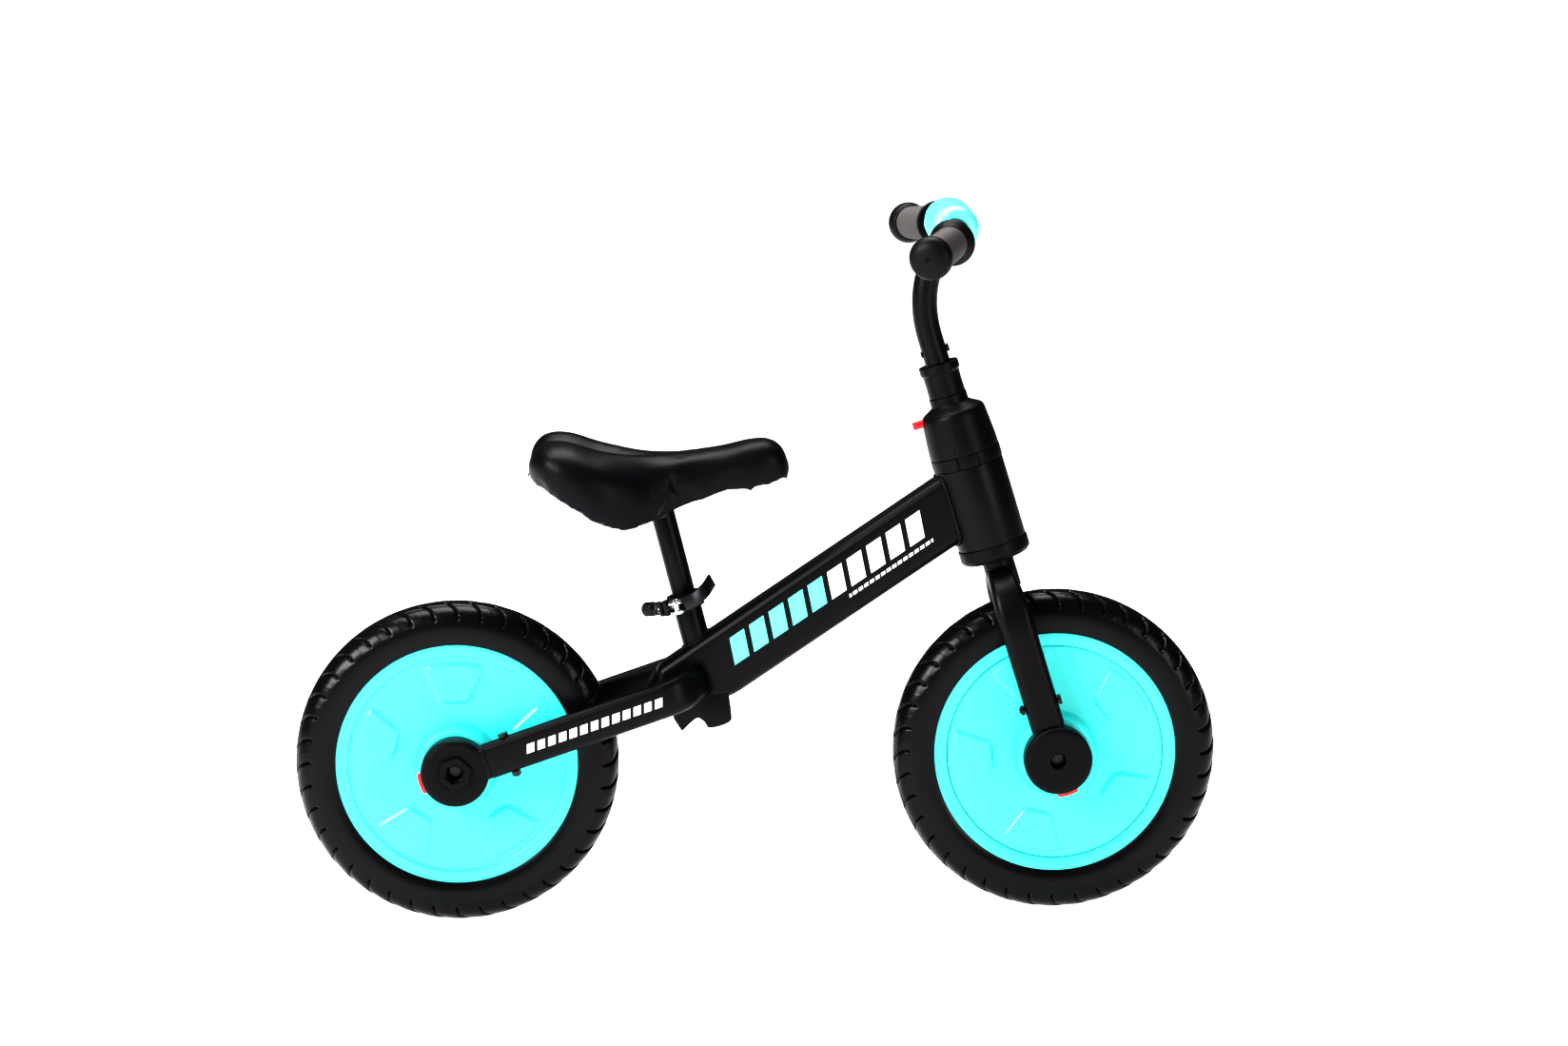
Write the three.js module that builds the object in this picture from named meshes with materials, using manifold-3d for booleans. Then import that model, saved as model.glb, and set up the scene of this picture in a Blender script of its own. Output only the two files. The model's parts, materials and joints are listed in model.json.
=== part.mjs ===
// Balance bike for small children: two 12-inch foam-tyred wheels, a slanted
// main tube, and quick-release fork, hubs, saddle and handlebar.
// Row frame: millimetres, +X forward, +Y to the rider's left, +Z up, origin
// on the ground midway between the axles.
import * as THREE from 'three';
import { mergeVertices } from 'three/addons/utils/BufferGeometryUtils.js';
import Module from 'manifold-3d';

const wasm = await Module();
wasm.setup();

// ---------------------------------------------------------------- sizes, mm
const GAP = 0.3;                 // clearance between pieces that meet
const RUN_GAP = 0.3;             // radial clearance of turning and sliding fits

// layout
const WHEEL_SIDES = 28;          // flats around a wheel
const WHEELBASE = 536;
const TYRE_R = 145;
const HEAD_LEAN = 16.2;          // degrees, steering axis back from vertical
const FORK_OFFSET = 1.5;         // steering axis ahead of the front axle
const SEAT_LEAN = 13.5;          // degrees, seat post back from vertical

// wheels
const TYRE_HALF_W = 23;
const RIM_R = 108.8;
const RIM_HALF_W = 20;
const RIM_LIP = 5.5;             // width of each rim lip
const RIM_SEAT_R = 104.4;        // tyre seat between the lips
const RIM_WALL = 3.5;
const WEB_T = 3;
const STEP_R = 96.6;             // edge of the recessed web
const STEP_DROP = 1.4;
const LAND_R = 97.1;             // opening of the rim that the cover presses into
const LAND_W = 3;
const SKIRT_W = 8;               // depth of the cover's rim
const BARREL_SHORT = 8;          // the hub barrel ends this far inside the boss
const BOSS_R = 38;               // conical boss around the hub
const BOSS_TOP_R = 33;
const BOSS_Y = 38.5;
const HUB_BARREL_R = 18;
const PAD_COUNT = 5;
const PAD_IN_R = 55.5;
const PAD_OUT_R = 92;
const PAD_IN_HALF = 13;
const PAD_OUT_HALF = 29;
const PAD_PROUD = 1.8;
const FRONT_PAD_ANGLE = 39;      // degrees, where each wheel's first pad stands
const REAR_PAD_ANGLE = 90;
const BEARING_R = 13;
const BEARING_W = 8;
const AXLE_R = 5;

// hub housings on the fork blades and rear stays
const HOUSE_R = 30.3;
const HOUSE_IN_Y = 40;
const HOUSE_OUT_Y = 62;
const HOUSE_EDGE = 2.6;
const SOCKET_R = 6.3;
const SOCKET_DEPTH = 12;
const HEX_R = 16;                // rear hexagon, across the corners / 2
const HEX_H = 4;
const HEX_BORE_R = 9;
const TAB_PROUD = 3.3;
const TAB_HALF_ARC = 9.2;
const TAB_HALF_W = 4;
const TAB_LENGTH = 7.5;
const TAB_TRAVEL = 3;

// fork blades and stays: flat-oval tube
const BLADE = { y: 50, height: 30.5 };
const STAY = { y: 55, height: 32.5 };
const ARM_T = 15;
const ARM_WALL = 1.6;
const ARM_START = HOUSE_R + 0.7;
const TONGUE_ROOT = HOUSE_R - 8;
const TONGUE_END = 68;
const BOLT_AT = 51.6;            // cross bolt from the axle
const BOLT_R = 2.5;
const BOLT_HEAD_R = 4.5;
const BOLT_HEAD_H = 3;
const NUT_R = 4.6;
const NUT_H = 3.4;
const THREAD_PROUD = 1.2;        // bolt end standing out of its nut
const BLADE_STRAIGHT = 112;      // straight length of a blade from the axle
const BLADE_TOP = 167;
const BLADE_END_Y = 12;          // the bend's end, half way into the crown
const STAY_JOIN = [-47.7, 217.9]; // where the stays run into the main tube (x, z)
const STAY_BEND = 36;            // length of the bend at a stay's front end

// steering column, heights measured along the steering axis from the axle
const CROWN_Z = 153;
const CROWN_R = 14.2;
const CUP_Z = 182.5;
const CUP_H = 13.8;
const HEAD_R = 31.1;
const CUP_R = HEAD_R + 0.8;
const CUP_TAPER = 2.6;
const HEAD_H = 74;
const HEAD_WALL = 3;
const RING_H = 11;
const RING_R = HEAD_R + 0.5;
const RING_WALL = 3.2;
const GROOVE_Y = 5;              // upright groove in the ring's back
const GROOVE_W = 3;
const GROOVE_DEPTH = 1.2;
const COVER_H = 36;
const COVER_R = HEAD_R + 0.3;
const COVER_TOP_R = HEAD_R - 2.1;
const COVER_WALL = 2.6;
const SHOULDER_H = 8;
const NECK_R = 17;
const NECK_H = 9;
const COLLAR_H = 21;
const COLLAR_R = 16.5;
const FLANGE_H = 8;
const FLANGE_R = 18;
const NOTCH_W = 5;
const STEERER_R = 13.4;
const STEERER_WALL = 1.7;
const HEADSET_H = 8;
const BUTTON_PROUD = 6.5;
const BUTTON_H = 5.5;
const BUTTON_W = 9;
const BUTTON_LENGTH = 12;
const BUTTON_TRAVEL = 4;

// handlebar
const STEM_R = 11.1;
const STEM_WALL = 1.8;
const STEM_INSERT = 66;          // length of stem inside the steerer
const STEM_BEND = 104.5;         // height of the bend, along the steering axis
const STEM_LEAD = 45;            // how far the bend first keeps to the steering axis
const BAR_APPROACH = [18, 28];   // the bend's end comes from this far back and below
const PIN_BELOW_BEND = 12;
const PIN_R = 2.8;
const BAR_BACK = 87;             // bar behind the front axle
const BAR_Z = 618;
const BAR_R = 11.1;
const BAR_FLAT_HALF = 57;
const GRIP_START = 100;          // half distance between the grips
const GRIP_BACK = 5.5;           // how far back and down the grip starts
const GRIP_DOWN = 6;
const GRIP_SWEEP = 16.5;         // degrees back
const GRIP_DROOP = 4.4;          // degrees down
const GRIP_L = 92;
const GRIP_R = 15;
const GRIP_FLANGE_R = 20.3;
const GRIP_CAP_R = 19;
const PAD_R = 24.5;
const PAD_HALF = 56;
const PAD_EDGE = 5;
const PAD_CLEAR = 0.8;
const STEM_STEPS = 15;

// main tube
const MAIN_MID = [48, 280.9];    // a point on its centre line (x, z)
const MAIN_AT_HEAD = 245.7;      // where that line crosses the steering axis
const MAIN_H = 59.6;
const MAIN_W = 36;
const MAIN_ROUND = 9;
const MAIN_WALL = 2.2;
const MAIN_REAR_X = -87;         // where its top edge ends
const BELLY = [[-24, 198], [-70, 195], [-91, 211]];
const SOCKET_W = 35;
const PLUG_H = 12;
const PLUG_W = 22;
const PLUG_PROUD = 9;

// seat
const SEAT_POINT = [-71, 330];   // a point on the seat post's axis (x, z)
const POST_R = 10.5;
const POST_WALL = 1.6;
const SEAT_TUBE_R = POST_R + 2;
const SEAT_TUBE_TOP = -39;       // along the axis from SEAT_POINT
const SEAT_TUBE_FOOT = -127;
const POST_FOOT = -86;
const POST_TOP = 50;
const CLAMP_AT = -44.5;
const CLAMP_H = 12.5;
const CLAMP_WALL = 3.4;
const SKEWER_Y = -SEAT_TUBE_R - 11.2;
const SKEWER_R = 2.6;
const EAR_T = 4;
const EAR_END = 6;               // ears reach this far past the skewer
const EAR_SLIT = 2;
const CLAMP_TURN = -45;          // degrees about the post
const SKEWER_NUT_L = 23;
const CAM_R = 7;
const CAM_PIN_R = 3;
const LEVER_T = 2.8;
const LEVER_W = 12;
const SADDLE_RIM = 8;            // cushion skirt's thickness
const BASE_T = 5;
const SADDLE_BOSS_R = POST_R + 4.5;
const SADDLE_BOLT_AT = 40;
const SADDLE_BOLT_R = 3;

const HALF_BASE = WHEELBASE / 2;
const BAR_X = HALF_BASE - BAR_BACK;
const CUP_TOP = CUP_Z + CUP_H;
const HEAD_Z = CUP_TOP + GAP;
const HEAD_TOP = HEAD_Z + HEAD_H;
const RING_Z = HEAD_TOP + GAP;
const COVER_Z = RING_Z + RING_H + GAP;
const NECK_TOP = COVER_Z + COVER_H + SHOULDER_H + NECK_H;
const COLLAR_Z = NECK_TOP + GAP;
const rad = THREE.MathUtils.degToRad;
const STEM_STRAIGHT = (BAR_Z - TYRE_R) / Math.cos(rad(HEAD_LEAN)) - STEM_BEND;
const PIN_AT = STEM_STRAIGHT - PIN_BELOW_BEND;
const STAY_RUN = STAY_JOIN[0] + HALF_BASE;
const STAY_LIFT = STAY_JOIN[1] - TYRE_R;
const STAY_RISE = THREE.MathUtils.radToDeg(Math.atan2(STAY_LIFT, STAY_RUN));
const STAY_END = Math.hypot(STAY_RUN, STAY_LIFT);
const STAY_STRAIGHT = STAY_END - STAY_BEND;

// ---------------------------------------------------------------- materials
const finish = (color, roughness, metalness = 0) =>
  () => new THREE.MeshStandardMaterial({ color, roughness, metalness });
const paint = finish(0x17171a, 0.42, 0.3);
const plastic = finish(0x141416, 0.5);
const turquoise = finish(0x2fe3d2, 0.38);
const foam = finish(0x101012, 0.62);
const rubber = finish(0x4a4644, 0.75);
const steel = finish(0xb9bcc0, 0.3, 0.95);
const blackSteel = finish(0x1d1d1f, 0.35, 0.8);
const red = finish(0xe8232b, 0.4);
const padding = finish(0x35e0d0, 0.55);
const leather = finish(0x161618, 0.5);

// ------------------------------------------------------- geometry to solids
// Merge a closed geometry's shared points, drop its empty triangles and turn
// it the right way out, then hand it to the library that joins and cuts.
function solid(geometry) {
  const plain = new THREE.BufferGeometry();
  plain.setAttribute('position', geometry.getAttribute('position'));
  if (geometry.index) plain.setIndex(geometry.index);
  const merged = mergeVertices(plain, 1e-4);
  const points = merged.getAttribute('position').array;
  const index = merged.index.array;
  const kept = [];
  let volume = 0;
  const corner = [0, 1, 2].map(() => new THREE.Vector3());
  for (let i = 0; i < index.length; i += 3) {
    const [a, b, c] = index.slice(i, i + 3);
    if (a === b || b === c || c === a) continue;
    kept.push(a, b, c);
    [a, b, c].forEach((v, k) => corner[k].fromArray(points, 3 * v));
    volume += corner[0].dot(corner[1].cross(corner[2]));
  }
  if (volume < 0) kept.reverse();
  return new wasm.Manifold(new wasm.Mesh({
    numProp: 3,
    vertProperties: new Float32Array(points),
    triVerts: new Uint32Array(kept),
  }));
}

function geometryOf(body) {
  const mesh = body.getMesh();
  const geometry = new THREE.BufferGeometry();
  const points = new Float32Array(mesh.vertProperties);
  geometry.setAttribute('position', new THREE.BufferAttribute(points, 3));
  geometry.setIndex(new THREE.BufferAttribute(new Uint32Array(mesh.triVerts), 1));
  return geometry;
}

const join = (...bodies) => bodies.reduce((all, body) => all.add(body));
const cut = (body, ...tools) => tools.reduce((left, tool) => left.subtract(tool), body);
const moved = (body, matrix) => body.transform(Array.from(matrix.elements));

function piece(group, name, body, material) {
  const mesh = new THREE.Mesh(geometryOf(body), material());
  mesh.name = name;
  group.add(mesh);
  return mesh;
}

// Shapes used all over. A turned piece's profile is a list of [radius, height].
const turnedY = (profile, segments = 28) =>
  solid(new THREE.LatheGeometry(profile.map(([r, y]) => new THREE.Vector2(r, y)), segments));

function turnedZ(profile, segments = 28) {
  const points = profile.map(([r, z]) => new THREE.Vector2(r, z));
  return solid(new THREE.LatheGeometry(points, segments).rotateX(Math.PI / 2));
}

const ringProfile = (inner, outer, low, high) =>
  [[inner, low], [outer, low], [outer, high], [inner, high], [inner, low]];
const ringZ = (inner, outer, low, high, segments = 28) =>
  turnedZ(ringProfile(inner, outer, low, high), segments);
const ringY = (inner, outer, low, high, segments = 28) =>
  turnedY(ringProfile(inner, outer, low, high), segments);

function box(x0, x1, y0, y1, z0, z1) {
  const geometry = new THREE.BoxGeometry(x1 - x0, y1 - y0, z1 - z0);
  return solid(geometry.translate((x0 + x1) / 2, (y0 + y1) / 2, (z0 + z1) / 2));
}

// A rod along an axis from one end to the other; six sides make a hexagon.
function rod(axis, radius, from, to, sides = 20) {
  const geometry = new THREE.CylinderGeometry(radius, radius, to - from, sides);
  geometry.translate(0, (from + to) / 2, 0);
  if (axis === 'x') geometry.rotateZ(-Math.PI / 2);
  if (axis === 'z') geometry.rotateX(Math.PI / 2);
  return solid(geometry);
}

const at = (body, x, y, z) => moved(body, new THREE.Matrix4().makeTranslation(x, y, z));

// An outline in the X-Z plane, given a width in Y, with rounded side edges.
function sidePlate(points, width, round = 0, steps = 3) {
  const shape = new THREE.Shape(points.map(([x, z]) => new THREE.Vector2(x, z)));
  const geometry = new THREE.ExtrudeGeometry(shape, {
    depth: width - 2 * round,
    bevelEnabled: round > 0,
    bevelThickness: round,
    bevelSize: round,
    bevelOffset: -round,
    bevelSegments: steps,
  });
  geometry.rotateX(Math.PI / 2);
  return solid(geometry.translate(0, (width - 2 * round) / 2, 0));
}

// Flat oval with half-round ends, long side along the shape's x.
function oval(length, thick, arcSteps = 4) {
  const shape = new THREE.Shape();
  const r = thick / 2;
  const c = length / 2 - r;
  for (const [side, start] of [[1, -90], [-1, 90]]) {
    for (let i = 0; i <= arcSteps; i += 1) {
      const a = rad(start + (180 * i) / arcSteps);
      const x = side * c + r * Math.cos(a);
      const y = r * Math.sin(a);
      if (side === 1 && i === 0) shape.moveTo(x, y);
      else shape.lineTo(x, y);
    }
  }
  return shape;
}

function round(radius, sides = 12) {
  const shape = new THREE.Shape();
  for (let i = 0; i < sides; i += 1) {
    const a = (2 * Math.PI * i) / sides;
    if (i) shape.lineTo(radius * Math.cos(a), radius * Math.sin(a));
    else shape.moveTo(radius, 0);
  }
  return shape;
}

// A shape carried along a curve. A hole in the shape makes an open tube.
const swept = (shape, path, steps) =>
  solid(new THREE.ExtrudeGeometry(shape, { steps, extrudePath: path, bevelEnabled: false }));

function tubeOf(outer, inner) {
  outer.holes.push(inner);
  return outer;
}

// ------------------------------------------------------------------- frames
const bike = new THREE.Group();

function place(parent, x, y, z, lean = 0) {
  const group = new THREE.Group();
  group.position.set(x, y, z);
  group.rotation.y = rad(lean);
  parent.add(group);
  group.updateWorldMatrix(true, false);
  return group;
}

const headLean = rad(HEAD_LEAN);
const steerX = HALF_BASE + FORK_OFFSET * Math.cos(headLean);
const steerZ = TYRE_R + FORK_OFFSET * Math.sin(headLean);
const steering = place(bike, steerX, 0, steerZ, -HEAD_LEAN);
const rearArms = place(bike, -HALF_BASE, 0, TYRE_R, -STAY_RISE);
const forkArms = place(steering, -FORK_OFFSET, 0, 0, -90);
const seat = place(bike, SEAT_POINT[0], 0, SEAT_POINT[1], -SEAT_LEAN);
const onSteeringAxis = (z) => new THREE.Vector3(0, 0, z).applyMatrix4(steering.matrixWorld);

// ------------------------------------------------------------------- wheels
// The moulded wheel: rim with two lips, one web, hub barrel and boss. The cover
// presses into its open side. side is +1 when the web faces left.
function wheelMoulding(side) {
  const lip = RIM_HALF_W - RIM_LIP;
  const webIn = RIM_HALF_W - STEP_DROP - WEB_T;
  const webOut = RIM_HALF_W - STEP_DROP;
  const inner = RIM_SEAT_R - RIM_WALL;
  const bore = BEARING_R + GAP;
  const barrelEnd = BOSS_Y - BARREL_SHORT;
  const profile = [
    [bore, -barrelEnd], [HUB_BARREL_R, -barrelEnd], [HUB_BARREL_R, webIn],
    [inner, webIn], [inner, -RIM_HALF_W + LAND_W], [LAND_R, -RIM_HALF_W + LAND_W],
    [LAND_R, -RIM_HALF_W], [RIM_R, -RIM_HALF_W], [RIM_R, -lip],
    [RIM_SEAT_R, -lip], [RIM_SEAT_R, lip], [RIM_R, lip], [RIM_R, RIM_HALF_W],
    [STEP_R + STEP_DROP, RIM_HALF_W], [STEP_R, webOut], [BOSS_R, webOut],
    [BOSS_TOP_R, BOSS_Y], [bore, BOSS_Y], [bore, -barrelEnd],
  ];
  return turnedY(profile.map(([r, y]) => [r, side * y]), WHEEL_SIDES);
}

// The cover: a thin disc with a skirt inside the rim and a boss of its own.
function wheelCover(side) {
  const out = RIM_HALF_W - STEP_DROP;
  const bore = BEARING_R + 2;
  const edge = LAND_R - GAP;
  const profile = [
    [edge, out - SKIRT_W], [edge, out], [BOSS_R, out], [BOSS_TOP_R, BOSS_Y], [bore, BOSS_Y],
    [bore, BOSS_Y - WEB_T], [BOSS_TOP_R - 2 * WEB_T, BOSS_Y - WEB_T],
    [BOSS_R - WEB_T, out - WEB_T], [edge - WEB_T, out - WEB_T], [edge - WEB_T, out - SKIRT_W],
    [edge, out - SKIRT_W],
  ];
  return turnedY(profile.map(([r, y]) => [r, side * y]), WHEEL_SIDES);
}

// Raised trapezium pads around the web, angle counted from +X towards +Z.
function pads(side, firstAngle) {
  const bodies = [];
  const face = RIM_HALF_W - STEP_DROP;
  for (let i = 0; i < PAD_COUNT; i += 1) {
    const shape = new THREE.Shape([
      new THREE.Vector2(PAD_IN_R, -PAD_IN_HALF), new THREE.Vector2(PAD_OUT_R, -PAD_OUT_HALF),
      new THREE.Vector2(PAD_OUT_R, PAD_OUT_HALF), new THREE.Vector2(PAD_IN_R, PAD_IN_HALF),
    ]);
    const geometry = new THREE.ExtrudeGeometry(shape, { depth: PAD_PROUD + 1, bevelEnabled: false });
    geometry.rotateX(Math.PI / 2);
    geometry.translate(0, side > 0 ? face + PAD_PROUD : -face + 1, 0);
    geometry.rotateY(-rad(firstAngle + (360 / PAD_COUNT) * i));
    bodies.push(solid(geometry));
  }
  return bodies;
}

function tyre() {
  const lip = RIM_HALF_W - RIM_LIP + GAP;
  const seatR = RIM_SEAT_R + GAP;
  const out = [
    [seatR, -lip + 2 * GAP], [RIM_R + GAP, -lip + 2 * GAP], [RIM_R + GAP, -RIM_HALF_W - 0.8],
    [TYRE_R - 27, -TYRE_HALF_W + 0.4], [TYRE_R - 17, -TYRE_HALF_W],
    [TYRE_R - 8.5, -TYRE_HALF_W + 2.5], [TYRE_R - 2.5, -TYRE_HALF_W + 8.5],
    [TYRE_R, -TYRE_HALF_W + 17],
  ];
  const mirrored = out.map(([r, y]) => [r, -y]).reverse();
  return turnedY([...out, ...mirrored, out[0]], WHEEL_SIDES);
}

function addWheel(name, x, webSide, padAngle) {
  const wheel = place(bike, x, 0, TYRE_R);
  piece(wheel, `${name}_tyre`, tyre(), foam);
  const disc = join(wheelMoulding(webSide), ...pads(webSide, padAngle));
  piece(wheel, `${name}_wheel`, disc, turquoise);
  const cover = join(wheelCover(-webSide), ...pads(-webSide, padAngle));
  piece(wheel, `${name}_wheel_cover`, cover, turquoise);
  const reach = BOSS_Y - BARREL_SHORT;
  for (const [sideName, side] of [['right', -1], ['left', 1]]) {
    const [low, high] = side > 0 ? [reach - BEARING_W, reach] : [-reach, -reach + BEARING_W];
    const bearing = ringY(AXLE_R + RUN_GAP, BEARING_R, low, high, 16);
    piece(wheel, `${name}_bearing_${sideName}`, bearing, steel);
  }
}

addWheel('front', HALF_BASE, 1, FRONT_PAD_ANGLE);
addWheel('rear', -HALF_BASE, -1, REAR_PAD_ANGLE);

// ------------------------------------------------- hub housings, arms, bolts
// Everything here is in an arm's own frame: axle at the origin, +X along the
// arm, Y across the bike. side is -1 on the right and +1 on the left.
const boltHole = (side, arm) =>
  at(rod('z', BOLT_R + GAP, -arm.height, arm.height), BOLT_AT, side * arm.y, 0);

function hubHousing(side, arm, hexagon) {
  const profile = [
    [AXLE_R + GAP, HOUSE_IN_Y], [HOUSE_R - HOUSE_EDGE, HOUSE_IN_Y],
    [HOUSE_R, HOUSE_IN_Y + HOUSE_EDGE],
    [HOUSE_R, HOUSE_OUT_Y - HOUSE_EDGE], [HOUSE_R - 0.8, HOUSE_OUT_Y - 0.8],
    [HOUSE_R - HOUSE_EDGE, HOUSE_OUT_Y], [SOCKET_R + 1.4, HOUSE_OUT_Y],
    [SOCKET_R, HOUSE_OUT_Y - 1.6], [SOCKET_R, HOUSE_OUT_Y - SOCKET_DEPTH],
    [AXLE_R + GAP, HOUSE_OUT_Y - SOCKET_DEPTH], [AXLE_R + GAP, HOUSE_IN_Y],
  ];
  const slack = ARM_WALL + GAP;
  const tongue = swept(
    oval(arm.height - 2 * slack, ARM_T - 2 * slack),
    new THREE.LineCurve3(new THREE.Vector3(TONGUE_ROOT, 0, 0), new THREE.Vector3(TONGUE_END, 0, 0)), 1);
  let body = turnedY(profile.map(([r, y]) => [r, side * y]));
  body = join(body, at(tongue, 0, side * arm.y, 0));
  if (hexagon) {
    const low = side > 0 ? HOUSE_OUT_Y - 1 : -HOUSE_OUT_Y - HEX_H;
    const hex = rod('y', HEX_R, low, low + HEX_H + 1, 6);
    const bore = rod('y', HEX_BORE_R, low - 4, low + HEX_H + 5, 32);
    body = cut(join(body, hex), bore);
  }
  const tabMid = side * (HOUSE_IN_Y + HOUSE_OUT_Y) / 2;
  const half = TAB_HALF_W + GAP;
  const arc = TAB_HALF_ARC + GAP;
  const depth = HOUSE_R - TAB_LENGTH + TAB_PROUD - TAB_TRAVEL - GAP;
  const slot = box(-HOUSE_R - 2, -depth, tabMid - half, tabMid + half, -arc, arc);
  return cut(body, slot, boltHole(side, arm));
}

function releaseTab(side) {
  const mid = side * (HOUSE_IN_Y + HOUSE_OUT_Y) / 2;
  const outer = HOUSE_R + TAB_PROUD;
  const disc = rod('y', outer, mid - TAB_HALF_W, mid + TAB_HALF_W, 48);
  const keep = box(-outer - 1, -outer + TAB_LENGTH, mid - 20, mid + 20, -TAB_HALF_ARC, TAB_HALF_ARC);
  return disc.intersect(keep);
}

function armTube(height, path) {
  const wall = ARM_WALL * 2;
  return swept(tubeOf(oval(height, ARM_T), oval(height - wall, ARM_T - wall)), path, 12);
}

function addCrossBolt(group, name, side, arm, headUp) {
  const reach = arm.height / 2 + GAP;
  const ends = [-headUp * (reach + NUT_H + THREAD_PROUD), headUp * (reach + 1)].sort((a, b) => a - b);
  const shank = rod('z', BOLT_R, ends[0], ends[1], 16);
  const headLow = headUp > 0 ? reach : -reach - BOLT_HEAD_H;
  const head = rod('z', BOLT_HEAD_R, headLow, headLow + BOLT_HEAD_H, 16);
  piece(group, `${name}_bolt`, at(join(shank, head), BOLT_AT, side * arm.y, 0), blackSteel);
  const nutLow = headUp > 0 ? -reach - NUT_H : reach;
  const nutBore = rod('z', BOLT_R + GAP, nutLow - 1, nutLow + NUT_H + 1, 16);
  const nut = cut(rod('z', NUT_R, nutLow, nutLow + NUT_H, 6), nutBore);
  piece(group, `${name}_nut`, at(nut, BOLT_AT, side * arm.y, 0), blackSteel);
}

// A fork blade rises straight from the hub, then bends in to the crown.
function forkBlade(side) {
  const y = side * BLADE.y;
  const path = new THREE.CurvePath();
  const bend = new THREE.Vector3(BLADE_STRAIGHT, y, 0);
  path.add(new THREE.LineCurve3(new THREE.Vector3(ARM_START, y, 0), bend));
  path.add(new THREE.CubicBezierCurve3(
    bend, new THREE.Vector3(BLADE_STRAIGHT + 28, y, 0),
    new THREE.Vector3(BLADE_TOP - 3, y - side * 6, 0), new THREE.Vector3(BLADE_TOP, side * BLADE_END_Y, 0)));
  const crown = at(rod('x', CROWN_R + GAP, CROWN_Z - 30, CUP_Z + 30, 32), 0, 0, -FORK_OFFSET);
  const cupSpace = box(CUP_Z - GAP, CUP_Z + 60, -80, 80, -60, 60);
  return cut(armTube(BLADE.height, path), boltHole(side, BLADE), crown, cupSpace);
}

// A stay runs straight past the tyre, then turns in to the main tube's side.
function stay(side) {
  const y = side * STAY.y;
  const path = new THREE.CurvePath();
  const bend = new THREE.Vector3(STAY_STRAIGHT, y, 0);
  path.add(new THREE.LineCurve3(new THREE.Vector3(ARM_START, y, 0), bend));
  path.add(new THREE.CubicBezierCurve3(
    bend, new THREE.Vector3(STAY_STRAIGHT + 20, y, 0),
    new THREE.Vector3(STAY_END - 8, side * 40, 0), new THREE.Vector3(STAY_END, side * 10, 0)));
  const inside = box(0, 400, -MAIN_W / 2 - GAP, MAIN_W / 2 + GAP, -100, 100);
  return cut(armTube(STAY.height, path), boltHole(side, STAY), inside);
}

for (const [sideName, side] of [['right', -1], ['left', 1]]) {
  piece(forkArms, `fork_blade_${sideName}`, forkBlade(side), paint);
  piece(forkArms, `front_hub_${sideName}`, hubHousing(side, BLADE, false), plastic);
  piece(forkArms, `front_release_${sideName}`, releaseTab(side), red);
  addCrossBolt(forkArms, `fork_${sideName}`, side, BLADE, -1);
  piece(rearArms, `stay_${sideName}`, stay(side), paint);
  piece(rearArms, `rear_hub_${sideName}`, hubHousing(side, STAY, true), plastic);
  piece(rearArms, `rear_release_${sideName}`, releaseTab(side), red);
  addCrossBolt(rearArms, `stay_${sideName}`, side, STAY, 1);
}
const axleReach = HOUSE_OUT_Y - SOCKET_DEPTH - GAP;
piece(forkArms, 'front_axle', rod('y', AXLE_R, -axleReach, axleReach, 24), steel);
piece(rearArms, 'rear_axle', rod('y', AXLE_R, -axleReach, axleReach, 24), steel);

// ---------------------------------------------------------- steering column
const steererBore = STEERER_R - STEERER_WALL;
const crown = join(
  rod('z', CROWN_R, CROWN_Z, CUP_Z - GAP, 32),
  rod('z', STEERER_R, CUP_Z - 1, NECK_TOP - 1, 32));
const stemHole = rod('z', steererBore, CROWN_Z + 12, NECK_TOP + 5, 32);
piece(steering, 'fork_crown', cut(crown, stemHole), paint);

const cupProfile = [
  [STEERER_R + RUN_GAP, CUP_Z], [CUP_R - CUP_TAPER, CUP_Z], [CUP_R, CUP_Z + 3.5], [CUP_R, CUP_TOP],
  [STEERER_R + RUN_GAP, CUP_TOP], [STEERER_R + RUN_GAP, CUP_Z],
];
piece(steering, 'lower_cup', turnedZ(cupProfile), plastic);

const headBore = HEAD_R - HEAD_WALL;
piece(steering, 'head_tube', ringZ(headBore, HEAD_R, HEAD_Z, HEAD_TOP), paint);
const raceIn = STEERER_R + RUN_GAP;
const raceOut = headBore - GAP;
piece(steering, 'headset_lower', ringZ(raceIn, raceOut, HEAD_Z + 1, HEAD_Z + 1 + HEADSET_H), steel);
piece(steering, 'headset_upper', ringZ(raceIn, raceOut, HEAD_TOP - 1 - HEADSET_H, HEAD_TOP - 1), steel);

const ringBody = ringZ(RING_R - RING_WALL, RING_R, RING_Z, RING_Z + RING_H);
const groove = box(
  -RING_R - 1, -RING_R + GROOVE_DEPTH, -GROOVE_Y - GROOVE_W / 2, -GROOVE_Y + GROOVE_W / 2,
  RING_Z - 1, RING_Z + RING_H + 1);
piece(steering, 'limiter_ring', cut(ringBody, groove), plastic);

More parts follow.
